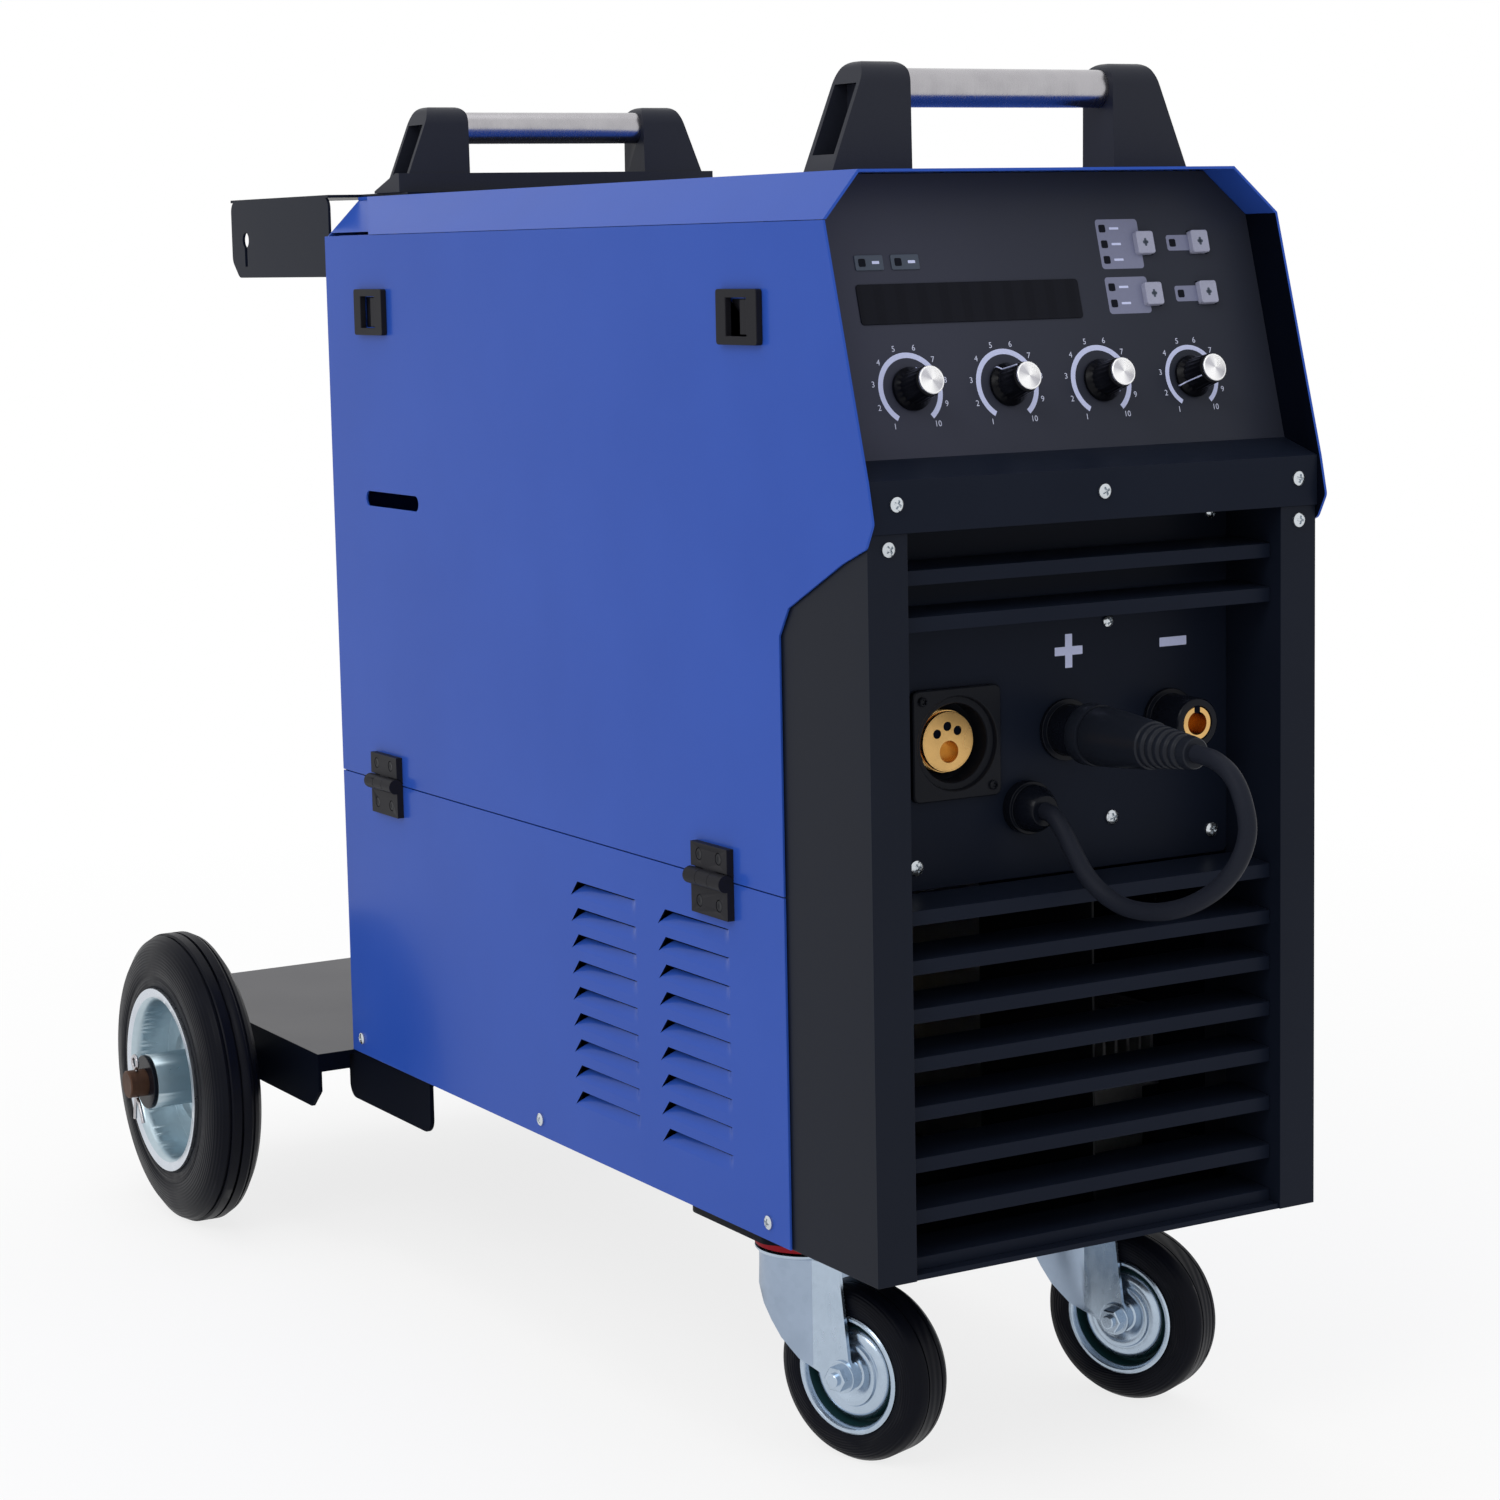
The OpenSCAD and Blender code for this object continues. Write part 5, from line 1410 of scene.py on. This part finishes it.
@dataclass
class Console:
    """Everything on the sloping console. Places are in u and v, and a rise is a height over it."""

    dials: tuple = (-97.5, -34.5, 28.5, 91.5)
    pointers: tuple = (70.0, 125.0, -35.0, 205.0)
    scales: tuple = ((18.8, 3.0), (18.8, 3.0), (18.8, 3.0), (17.0, 2.6))
    key_us: Pair = (73.0, 111.5)
    row_vs: Pair = (115.0, 85.5)
    key_size: Pair = (12.0, 13.0)
    key_rise: float = 3.5
    key_dish: tuple = ((0.0, None), (0.0, 0.8), (0.15, 0.25), (0.55, 0.0), (1.6, 0.15), (3.2, 0.32),
                       (5.0, 0.4))
    key_stem: float = -3.3
    field_sizes: tuple = ((57.0, 29.0, (28.5, 21.0), 2.0), (98.5, 17.0, (9.0, 9.0), 1.5))
    field_rise: float = 0.05
    listed_lamps: tuple = (124.0, 115.0, 106.0, 90.3, 81.0)
    lamp_us: Pair = (46.6, 94.0)
    lamp_size: Pair = (4.4, 4.4)
    dash_kinds: tuple = ((8.2, (6.4, 1.3), 0.08), (8.6, (4.6, 1.6), 0.78))
    window_at: Pair = (-49.2, 84.5)
    window_size: Pair = (145.5, 22.2)
    plate_us: Pair = (-111.0, -88.0)
    plate_v: float = 107.5
    plate_rise: float = 0.7

    def fields(self, paints: Paints) -> None:
        """The pale fields beside the keys: a wide one and a narrow one in each of the two rows.

        Args:
            paints: the shared finishes.
        """
        plates = [plate_on(CONSOLE, (u, v), (width, height), radius, self.field_rise)
                  for u, width, heights, radius in self.field_sizes
                  for v, height in zip(self.row_vs, heights)]
        add("key_fields", plates, paints.plate)

    def lamps(self, paints: Paints) -> None:
        """Unlit lamps, which are dark rounded squares, and a short pale dash beside each.

        Args:
            paints: the shared finishes.
        """
        listed = [(self.lamp_us[0], v) for v in self.listed_lamps]
        slate = [(u - 4.6, self.plate_v) for u in self.plate_us]
        squares = [plate_on(CONSOLE, spot, self.lamp_size, 0.9, 0.35, 0.15)
                   for spot in listed + [(self.lamp_us[1], v) for v in self.row_vs]]
        squares += [plate_on(CONSOLE, spot, self.lamp_size, 0.9, 0.95, 0.15) for spot in slate]
        add("key_lamps", squares, paints.lamp)
        dashes = [plate_on(CONSOLE, (u + shift, v), size, 0.3, height)
                  for spots, (shift, size, height) in zip((listed, slate), self.dash_kinds)
                  for u, v in spots]
        add("lamp_dashes", dashes, paints.ink)

    def keys(self, paints: Paints) -> None:
        """Push keys: a soft-edged cap with a shallow dish and a cross, over a stem through the console.

        Args:
            paints: the shared finishes.
        """
        width, height = self.key_size
        rise = self.key_rise
        for number, at in enumerate(((u, v) for u in self.key_us for v in self.row_vs), 1):
            rows = [(rounded(width - 2 * inset, height - 2 * inset, max(1.6 - inset, 0.3)),
                     self.key_stem if drop is None else rise - drop) for inset, drop in self.key_dish]
            add(f"key_{number}_cap", [raised(rows, CONSOLE, at)], paints.key, f"push_{number}",
                f"key_{number}")
            bars = [raised([(bar, rise - 0.8), (bar, rise - 0.3)], CONSOLE, at)
                    for bar in (rounded(1.6, 4.6, 0.7), rounded(3.8, 1.8, 0.8))]
            add(f"key_{number}_mark", bars, paints.slate, f"push_{number}")

    def display(self, paints: Paints) -> None:
        """The smoked window and the two slate plates over it.

        Args:
            paints: the shared finishes.
        """
        add("display_lens", [plate_on(CONSOLE, self.window_at, self.window_size, 2.0, self.plate_rise, 0.2)],
            paints.window, node="display_window")
        plates = [plate_on(CONSOLE, (u, self.plate_v), (18.0, 8.4), 1.0, self.plate_rise, 0.15)
                  for u in self.plate_us]
        add("indicator_plates", plates, paints.slate)

    def build(self, paints: Paints) -> None:
        """Builds the knobs, the scales, the keys, their fields and the window.

        Args:
            paints: the shared finishes.
        """
        bands, numbers = [], []
        for number, (u, pointer, scale) in enumerate(zip(self.dials, self.pointers, self.scales), 1):
            dial = Dial(number, u, pointer, *scale)
            dial.knob(paints)
            dial.pointer_line(paints)
            arc, digits = dial.scale()
            bands.append(arc)
            numbers += digits
        add("dial_bands", bands, paints.ink)
        add("dial_numbers", numbers, paints.number)
        self.fields(paints)
        self.lamps(paints)
        self.keys(paints)
        self.display(paints)


# ---------------------------------------------------------------- sockets, marks and screws


def screw_head(at: Sequence[float], out: Sequence[float], radius: float, turn: float,
               rise: float = 2.4) -> Shape:
    """A pan head with a cross recess.

    The height over the seat is rise * sqrt(1 - 0.75 s^2) at the share s of the radius, and drops by 1.1
    where the smaller of the two turned coordinates is under 0.55, inside 0.58 of the radius.

    Args:
        at: the middle of the seat.
        out: the direction that the head looks to.
        radius: the head's radius.
        turn: the recess' own angle, in radians.
        rise: the head's height.

    Returns:
        The points as rows and the faces as lists.
    """
    line = np.asarray(out, float)
    side = np.cross((0.0, 0.0, 1.0), line)
    side /= np.linalg.norm(side)
    other = np.cross(line, side)
    share = np.array([0.0, 0.1, 0.2, 0.3, 0.4, 0.5, 0.56, 0.62, 0.8, 0.93, 1.0, 1.0])[:, None]
    angle = np.linspace(0, FULL_TURN, 56, endpoint=False)[None, :]
    a, b = share * radius * np.cos(angle), share * radius * np.sin(angle)
    u, v = a * math.cos(turn) - b * math.sin(turn), a * math.sin(turn) + b * math.cos(turn)
    deep = (np.minimum(np.abs(u), np.abs(v)) < 0.55) & (share < 0.58)
    height = rise * np.sqrt(1 - 0.75 * share**2) * np.ones_like(angle) - 1.1 * deep
    height[-1] = 0.0
    points = np.asarray(at, float) + a[..., None] * side + b[..., None] * other + height[..., None] * line
    return lofted(points, caps=False)


@dataclass
class Connections:
    """The recessed connector panel: its sockets, glands and polarity marks."""

    face: UprightPlane = UprightPlane(48.0)
    plus: Pair = (13.0, 328.0)
    minus: Pair = (86.0, 328.0)
    torch: Pair = (-65.0, 283.0)
    current: tuple = ((10.0, 284.0), (82.0, 284.0))
    brass_y: float = 53.6
    pin_ring: float = 8.6
    pin_angles: tuple = (42, 92, 146)
    keyway: Pair = (82.0, 291.9)

    def marks(self, paints: Paints) -> None:
        """The plus and minus marks, as thin print.

        Args:
            paints: the shared finishes.
        """
        bars = [plate_on(self.face, at, size, 0.3, height)
                for at, size, height in ((self.plus, (19.0, 4.8), 0.06), (self.plus, (4.8, 19.0), 0.08),
                                         (self.minus, (19.0, 5.2), 0.06))]
        add("polarity_marks", bars, paints.ink)

    def flange(self, paints: Paints) -> None:
        """The torch socket's square flange: a round recess, its floor and a collar for the contact.

        Args:
            paints: the shared finishes.
        """
        steps = 160
        plate = polar_outline(rounded(58, 62, 4), steps)
        small = polar_outline(rounded(56.6, 60.6, 3.4), steps)
        ring = circle(steps)
        section = [(26.8, 44.0), (26.3, 44.4), (25.6, 47.3), (22.4, 47.7), (22.0, 48.2), (22.0, 61.0),
                   (19.2, 61.0), (18.2, 60.4), (18.2, 80.0), (19.4, 80.0), (19.4, 62.2), (23.0, 62.2),
                   (23.0, 48.0)]
        rows = [(plate, -48.0), (plate, -44.6), (small, -44.0), *((ring * r, -y) for r, y in section)]
        add("torch_flange", [raised(rows, UprightPlane(0.0), self.torch, wrap=True)], paints.fitting,
            node="euro_flange")
        screws = [screw_head((self.torch[0] + s * 23, 44.0, self.torch[1] - s * 25), (0, -1, 0), 2.6, 0.3 + s)
                  for s in (-1, 1)]
        add("flange_screws", screws, paints.fitting)

    def at_y(self, y: float) -> Callable:
        """A function that places rows of (x, z) about the torch socket's middle at a y."""
        return lambda rows: np.column_stack([rows[:, 0] + self.torch[0], np.full(len(rows), y),
                                             rows[:, 1] + self.torch[1]])

    def brass(self, paints: Paints) -> None:
        """The torch socket's brass with its bore, pin holes and thread, the brass of the two others, and
        near-black painted shade in the pin holes and over the keyway.

        Args:
            paints: the shared finishes.
        """
        front = self.brass_y
        along = (0, 1, 0)
        middle = (self.torch[0], 0.0, self.torch[1])
        spots = [(self.pin_ring * math.cos(a), self.pin_ring * math.sin(a))
                 for a in np.radians(self.pin_angles)]
        # Near-black discs in the pin holes are painted shade.
        pin = [(front + 0.7, 0), (front + 0.7, 2.5), (front + 3, 2.5), (front + 3, 0)]
        dots = [turned(pin, (middle[0] + x, 0.0, middle[2] + z), along, 24) for x, z in spots]
        add("pin_sockets", dots, paints.deep)
        hole = circle(40)
        holes = [hole * 6.2 + (0.6, -5.6)]
        holes += [hole * 2.6 + spot for spot in spots]
        thread = [(2.6 + 1.2 * k + step, r) for k in range(3)
                  for step, r in ((0.25, 17.6), (0.55, 16.9), (0.85, 16.9), (1.1, 17.6))]
        edge = [(0.0, 15.9), (0.0, 16.6), (0.5, 17.0), (1.6, 17.0), (1.7, 16.3), (2.4, 16.3), (2.5, 17.4),
                *thread, (6.6, 17.8), (25.0, 17.8), (25.0, 15.9)]
        stop = [(11.9, 0), (11.9, 15.95), (18, 15.95), (18, 0)]
        parts = [pierced(hole * 16.0, holes, self.at_y(front), self.at_y(front + 12)),
                 turned([(front + a, r) for a, r in edge], middle, along, 72, ring=True),
                 turned([(front + a, r) for a, r in stop], middle, along)]
        sleeve = [(20.7, 6.6), (20.7, 9.3), (21.2, 9.9), (71.9, 9.9), (71.9, 6.6)]
        floor = [(46.0, 0), (46.0, 6.7), (60.0, 6.7), (60.0, 0)]
        for x, z in self.current:
            parts += [turned(sleeve, (x, 0.0, z), along, 56, ring=True),
                      turned(floor, (x, 0.0, z), along, 40)]
        add("socket_brass", parts, paints.brass, node="brass_contacts")
        # A near-black plate over the keyway stands in for its shade.
        add("socket_keyway", [plate_on(UprightPlane(20.8), self.keyway, (3.8, 4.4), 1.2, 0.25)], paints.deep)

    def build(self, paints: Paints) -> None:
        """Dresses the sockets and adds the marks.

        Args:
            paints: the shared finishes.
        """
        self.marks(paints)
        self.flange(paints)
        self.brass(paints)
        dress(softened("output_sockets", 0.4), paints.socket)
        dress(softened("cable_glands", 0.4), paints.socket)


@dataclass
class Fasteners:
    """Case screws: five on the front, six in the recessed panel and three in each skirt."""

    panel_y: float = 48.0
    skirt_x: float = 151.8
    skirt_ys: tuple = (110, 390, 663)
    first_turn: float = 0.4
    next_turn: float = 0.7

    def build(self, paints: Paints) -> None:
        """Stands finished screws in for the CAD node's plain heads.

        Args:
            paints: the shared finishes.
        """
        ahead = (0, -1, 0)
        spots = [((x, -1.5, 420.5), ahead, 4.0) for x in (-133, 1.5, 136)]
        spots += [((x, 0.0, 397.0), ahead, 4.0) for x in (-137.5, 137.5)]
        spots += [((x, self.panel_y, z), ahead, 3.5) for x, z in ((113, 400), (-113, 400), (40, 343))]
        spots += [((x, self.panel_y, z), ahead, 4.2) for x, z in ((42, 231), (113, 216.5), (-91, 216))]
        spots += [((side.value * self.skirt_x, y, 11.0), (side.value, 0, 0), 4.0)
                  for side in Side for y in self.skirt_ys]
        heads = [screw_head(*spot, self.first_turn + self.next_turn * k) for k, spot in enumerate(spots)]
        add("case_screws", heads, paints.screw, node="panel_screws")


@dataclass
class DoorHardware:
    """Hinges and latches of the door."""

    hinge_x: float = -154.8
    hinge_ys: Pair = (162.5, 602.5)
    leaves: tuple = (("upper", "door", 213.0), ("lower", "root", 186.0))
    dome: tuple = ((0.0, 0.0), (0.0, 3.4), (1.0, 3.4), (1.3, 3.1), (1.4, 2.4), (1.1, 1.2), (1.0, 0.0))

    def build(self, paints: Paints) -> None:
        """Dresses the hinges and latches, and puts low dimpled caps into the leaves' screw holes.

        Args:
            paints: the shared finishes.
        """
        for node in ("hinge_lower_leaves", "hinge_upper_leaves", "latch_frames", "latch_slider_front",
                     "latch_slider_rear"):
            dress(softened(node, 0.5), paints.latch)
        for word, body, z in self.leaves:
            caps = [turned(self.dome, (self.hinge_x, y + side, z), (-1, 0, 0), 28)
                    for y in self.hinge_ys for side in (-11.0, 11.0)]
            add(f"hinge_caps_{word}", caps, paints.fitting, body)


# ---------------------------------------------------------------- cart


@dataclass
class Caster:
    """One caster: its pressed fork, its rim and its tyre. w runs across the fork, u from the kingpin on."""

    side: Side
    turn: float
    kingpin: Pair = (95.5, 161.5)
    trail: float = 41.0
    axle_z: float = -90.2
    crease: float = 19.8
    half_width: float = 20.5
    skirt_r: float = 28.5
    sheet: float = 2.5
    gap: tuple = (27.0, 31.4, 13.5)
    boss: float = 9.5
    levels: tuple = (-22, -24, -28, -36, -46, -56, -65, -74.2, -80, -85.2, -88, -90.2, -94.2, -96.5, -98.4,
                     -99.4, -99.69)
    rear_edge: tuple = ((22, 36, 46, 74.2, 85.2, 94.2), (-24, -24, -22.5, -2, 10, 32.4))

    @property
    def axle(self) -> tuple[float, float, float]:
        """The wheel's middle, as (w, u, z)."""
        return 0.0, self.trail, self.axle_z

    def place(self, rows: np.ndarray) -> np.ndarray:
        """(w, u, z) to machine millimetres: turned about the kingpin.

        Args:
            rows: rows of (w, u, z).

        Returns:
            The same points as rows of (x, y, z).
        """
        w, u, z = np.moveaxis(np.asarray(rows, float), -1, 0)
        angle = math.radians(self.turn)
        return np.stack([self.side.value * self.kingpin[0] + w * math.cos(angle) + u * math.sin(angle),
                         self.kingpin[1] + w * math.sin(angle) - u * math.cos(angle), z], axis=-1)

    def tyre(self) -> None:
        """Rubber with rings about the wheel's own axle."""
        centre = (float(self.place(self.axle)[1]), self.axle_z)
        rubber = TyreRubber(f"caster_tyre_rubber_{self.side.word}", centre, 1.6).material()
        dress(softened(f"caster_tyre_{self.side.word}", 0.0, sharp=40.0), rubber)

    def leg(self, across: int) -> np.ndarray:
        """Rings of one fork leg, from the crown to the bolt.

        At a height the sheet's outer face lies at w = 20.5 + f (sqrt(28.5^2 - u^2) - 20.5) for u behind
        the crease at 19.8, where f falls from 1 at the crown to 0.2, and at 20.5 in front of it.

        Args:
            across: 1 or -1, for the leg's side of the wheel.

        Returns:
            The rings, as rows of (w, u, z).
        """
        rings = []
        for z in self.levels:
            low = float(np.interp(-z, *self.rear_edge))
            high = 39.0 + 8.0 * min((-22.0 - z) / 68.2, 1.0)
            reach = math.sqrt(max(0.0, self.boss**2 - (z - self.axle_z) ** 2))
            if z < -81:
                high = max(high, self.trail + reach) if z > -90.3 else self.trail + reach
            if z < -94.2:
                low = self.trail - reach
            fold = float(np.clip(self.crease, low, high))
            u = np.concatenate([np.linspace(low, fold, 14), np.linspace(fold, high, 6)[1:]])
            bulge = np.sqrt(np.maximum(self.skirt_r**2 - u**2, 0)) - self.half_width
            w = self.half_width + np.where(u < self.crease, bulge * np.interp(-z, [30, 85], [1.0, 0.2]), 0.0)
            outside = np.column_stack([w, u, np.full(len(u), z)])
            inside = outside[::-1] - (self.sheet, 0.0, 0.0)
            rings.append(np.vstack([outside, inside]) * (across, 1, 1))
        return np.array(rings)

    def fork(self, paints: Paints) -> None:
        """The pressed fork: two legs, a round crown with its roof, the bolt, its washers and nuts.

        Args:
            paints: the shared finishes.
        """
        crown = [(-25.0, 7.05), (-25.0, 28.5), (-24.2, 30.2), (-23.2, 31.0), (-22.3, 30.9), (-22.0, 30.4),
                 (-22.0, 7.05)]
        roof = [[-20.5, 18.0], [20.5, 18.0], [20.5, 38.4], [19.0, 39.0], [-19.0, 39.0], [-20.5, 38.4]]
        parts = [lofted(self.place(self.leg(across))) for across in (-1, 1)]
        parts.append(turned(crown, (0, 0, 0), (0, 0, 1), 72, place=self.place, ring=True))
        parts.append(lofted(self.place(np.stack([np.column_stack([roof, np.full(len(roof), z)])
                                                 for z in (-24.8, -22.0)]))))
        shapes = [([(-20.5, 0), (-20.5, 9.6), (-21.9, 9.6), (-22.1, 9.2), (-22.1, 0)], 40),
                  ([(-22.0, 0), (-22.0, 7.5), (-27.4, 7.5), (-28.0, 6.8), (-28.0, 0)], 6),
                  ([(-27.9, 0), (-27.9, 4.0), (-29.9, 4.0), (-30.4, 3.3), (-30.4, 0)], 28),
                  ([(20.5, 0), (20.5, 9.6), (21.9, 9.6), (22.1, 9.2), (22.1, 0)], 40),
                  ([(22.0, 0), (22.0, 7.5), (26.2, 7.5), (27.0, 6.6), (27.0, 0)], 6),
                  ([(-20.6, 0), (-20.6, 4.0), (20.6, 4.0), (20.6, 0)], 28)]
        parts += [turned(profile, self.axle, (1, 0, 0), steps, place=self.place) for profile, steps in shapes]
        word = self.side.word
        piece = add(f"pressed_fork_{word}", parts, paints.zinc, f"caster_{word}",
                    f"caster_fork_{word}", 24.0)
        angle = math.radians(self.turn)

        def skirt(places: np.ndarray, normal: np.ndarray) -> np.ndarray:
            """Faces of the legs behind the crease, which get darker zinc as painted shade.

            Args:
                places: the faces' middles in machine millimetres.
                normal: the faces' normals.

            Returns:
                Which faces they are.
            """
            away = places - (self.side.value * self.kingpin[0], self.kingpin[1], 0.0)
            u = away[:, 0] * math.sin(angle) - away[:, 1] * math.cos(angle)
            return (u < self.crease) & (places[:, 2] < -25.1) & (np.abs(normal[:, 2]) < 0.5)

        repaint(piece, paints.skirt, skirt)

    def rim(self, paints: Paints) -> None:
        """The rim: a domed and stepped disc, a deep gap painted dark teal as painted shade, and a narrow
        rolled lip.

        Args:
            paints: the shared finishes.
        """
        half = [(17.5, 4.05), (17.5, 7.6), (17.0, 8.2), (13.2, 8.8), (12.6, 10.0), (12.9, 12.0), (14.3, 14.6),
                (15.0, 17.0), (14.6, 18.6), (13.2, 19.4), (13.1, 20.4), (13.4, 21.6), (12.6, 24.4),
                (10.4, 26.8), (7.0, 28.2), (4.6, 28.9), (4.4, 30.2), (7.0, 30.7), (13.0, 31.0), (15.6, 31.6),
                (16.9, 32.8), (17.0, 34.2), (16.2, 35.2), (15.2, 35.2), (14.4, 34.4), (13.6, 32.0)]
        profile = half + [(-a, r) for a, r in half[::-1]]
        word = self.side.word
        disc = turned(profile, self.axle, (1, 0, 0), 88, place=self.place, ring=True)
        piece = add(f"domed_rim_{word}", [disc], paints.zinc, f"caster_wheel_{word}",
                    f"caster_rim_{word}")
        angle = math.radians(self.turn)
        line = np.array([math.cos(angle), math.sin(angle), 0.0])

        def in_gap(places: np.ndarray, normal: np.ndarray) -> np.ndarray:
            """Faces of the gap between the disc and the lip, which get the painted shade.

            Args:
                places: the faces' middles in machine millimetres.
                normal: the faces' normals.

            Returns:
                Which faces they are.
            """
            away = places - self.place(self.axle)
            along = away @ line
            radius = np.linalg.norm(away - along[:, None] * line, axis=1)
            inner, outer, reach = self.gap
            return (radius > inner) & (radius < outer) & (np.abs(along) < reach)

        repaint(piece, paints.gap, in_gap)


@dataclass
class Cart:
    """Handles, wheels, casters and the axle."""

    axle: Pair = (818.0, -37.0)
    turns: Pair = (19.0, 23.4)
    lip_r: float = 60.3
    axle_end: float = 270.5
    hub_end: float = 253.5
    pin_x: float = 263.5
    wire: float = 1.35

    def plates(self) -> None:
        """The caster plates: black paint, a red seal under it and the kingpin's bare end."""
        finish = Zoned("caster_plate_finish",
                       (Zone((0.0045, 0.0055, 0.0100), 0.45, 0.0),
                        Zone((0.36, 0.016, 0.026), 0.4, 0.0, lambda x, y, z: z.between(-20.45, -16.9)),
                        Zone((0.5, 0.54, 0.58), 0.35, 0.9, lambda x, y, z: z < -20.5)), shine=0.05)
        dress(softened("caster_plates", 0.4), finish.material())

    def split_pin(self, side: Side) -> Shape:
        """A bent wire pin: an eye over the axle, two straight legs through it and two bent ends below.

        Args:
            side: the axle's end.

        Returns:
            The points as rows and the faces as lists.
        """
        turn = np.radians(np.linspace(-62, 242, 21))
        eye = np.column_stack([4.6 * np.cos(turn), 15.6 + 4.6 * np.sin(turn)])
        leg = np.array([[1.3, 11.0], [1.2, 0.0], [1.2, -10.5]])
        bent = np.array([[1.9, -14.0], [3.4, -20.0], [4.6, -27.0]])
        flat = np.vstack([bent[::-1] * (-2.6, 1.0), leg[::-1] * (-1, 1), eye[::-1], leg, bent])
        line = np.column_stack([np.full(len(flat), side.value * self.pin_x), flat + self.axle])
        return tube(line, self.wire, 12)

    def axle_rod(self, paints: Paints) -> None:
        """The brown rod with its black washers and spacers and, in each end, a bent wire pin.

        Args:
            paints: the shared finishes.
        """
        middle, across = (0, *self.axle), (1, 0, 0)
        end, hub = self.axle_end, self.hub_end
        rod = [(-end, 0), (-end, 9.2), (-end + 0.8, 9.95), (end - 0.8, 9.95), (end, 9.2), (end, 0)]
        add("axle_bar", [turned(rod, middle, across, 48)], paints.axle, node="rear_axle")
        washer = [(hub + 0.3, 9.9), (hub + 0.3, 19.2), (hub + 0.8, 19.5), (hub + 2.8, 19.5),
                  (hub + 3.3, 19.0), (hub + 3.3, 9.9)]
        spacer = [(201.2, 9.9), (201.2, 14.0), (178.2, 14.0), (178.2, 9.9)]
        rings = [turned([(side.value * a, r) for a, r in rows], middle, across, 48, ring=True)
                 for side in Side for rows in (washer, spacer)]
        add("axle_washers", rings, paints.socket)
        add("split_pins", [self.split_pin(side) for side in Side], paints.grip)

    def build(self, paints: Paints) -> None:
        """Dresses the cart.

        Args:
            paints: the shared finishes.
        """
        rubber = TyreRubber("rear_tyre_rubber", self.axle, 2.2).material()
        for side in Side:
            dress(softened(f"rear_tyre_{side.word}", 0.0, sharp=40.0), rubber)
        casters = [Caster(side, turn) for side, turn in zip(Side, self.turns)]
        for caster in casters:
            caster.tyre()
        self.plates()
        for caster in casters:
            rim = dress(softened(f"rear_rim_{caster.side.word}", 0.4, sharp=45.0), paints.rim)
            # The rolled lip gets paler zinc as a painted highlight.
            repaint(rim, paints.lip, lambda middle, normal:
                    np.hypot(*(middle[:, 1:] - self.axle).T) > self.lip_r)
            caster.rim(paints)
            caster.fork(paints)
        self.axle_rod(paints)
        dress(softened("handle_posts", 1.6, 3), paints.handle)
        dress(softened("handle_tubes", 0.0), paints.grip)


# ---------------------------------------------------------------- inside and back


@dataclass
class Interior:
    """What the door shows when it is open, and what lies behind the walls."""

    spool: Pair = (450.0, 365.0)
    wound_x: Pair = (-109.95, -16.05)
    wound_r: Pair = (134.0, 136.0)
    wire: float = 1.0

    def spool_finish(self) -> Material:
        """Black flanges and, between them, copper-coloured turns a wire's width apart.

        Returns:
            The material.
        """
        sheet = NodeSheet("wire_spool_finish")
        x, y, z = sheet.axes()
        wound = x.between(*self.wound_x) * sheet.distance(y, z, self.spool).between(*self.wound_r)
        turns = (x * (FULL_TURN / self.wire)).sine()
        mottle = sheet.noise(2.0, 3.0)
        plastic = sheet.mix(mottle, (0.020, 0.020, 0.023), (0.030, 0.030, 0.034))
        copper = sheet.mix(mottle, (0.62, 0.27, 0.13), (0.50, 0.20, 0.09))
        return sheet.finish(Base_Color=sheet.mix(wound, plastic, copper), Metallic=wound,
                            Roughness=0.45 - 0.15 * wound + 0.1 * (mottle - 0.5),
                            Normal=sheet.bump(turns * wound + mottle * 0.1, 0.25))

    def power_finish(self) -> Material:
        """The power parts: aluminium fins, two green boards and black parts that stand off the first.

        Returns:
            The material.
        """
        def boards(x: Wire, y: Wire, z: Wire) -> Wire:
            """The upright board and the flat one at the top front."""
            return (x.between(54.0, 57.2) * z.between(189.0, 421.0)).either((z > 440.0) * (y < 110.0))

        return Zoned("power_part_finish",
                     (Zone((0.55, 0.56, 0.58), 0.35, 0.9),
                      Zone((0.012, 0.085, 0.035), 0.45, 0.0, boards),
                      Zone((0.015, 0.015, 0.02), 0.35, 0.0,
                           lambda x, y, z: (x > 57.2) * z.between(200.0, 380.0)))).material()

    def core_finish(self) -> Material:
        """The transformers: varnished laminations and, round the middle legs, taped coils.

        Returns:
            The material.
        """
        return Zoned("wound_core_finish",
                     (Zone((0.060, 0.042, 0.032), 0.5, 0.3),
                      Zone((0.52, 0.36, 0.10), 0.45, 0.0,
                           lambda x, y, z: x.between(-89.6, -40.4) * z.between(26.9, 91.1))), 2.0).material()

    def build(self, paints: Paints) -> None:
        """Dresses the inner pieces and the fittings on the back.

        Args:
            paints: the shared finishes.
        """
        dress(softened("wire_spool", 0.3), self.spool_finish())
        dress(softened("inverter_module", 0.0), self.power_finish())
        dress(softened("wound_cores", 0.3), self.core_finish())
        for node in ("spool_post", "pressure_arm", "tension_lever", "fan_shroud", "fan_rotor"):
            dress(softened(node, 0.4), paints.fitting)
        for node in ("rear_fittings", "mains_switch_knob"):
            dress(softened(node, 0.5), paints.fitting)
        for node in ("feed_unit", "feed_roll", "pressure_roll"):
            dress(softened(node, 0.2), paints.steel)


# ---------------------------------------------------------------- main


def main() -> None:
    """Builds the studio and every sub-assembly."""
    logging.basicConfig(level=logging.INFO, format="%(name)s: %(message)s")
    Studio().build()
    paints = Paints()
    for part in (PolarityLead(), Casework(), Console(), Connections(), Fasteners(), DoorHardware(), Cart(),
                 Interior()):
        part.build(paints)
        log.info("built %s", type(part).__name__)


if __name__ == "__main__":
    main()
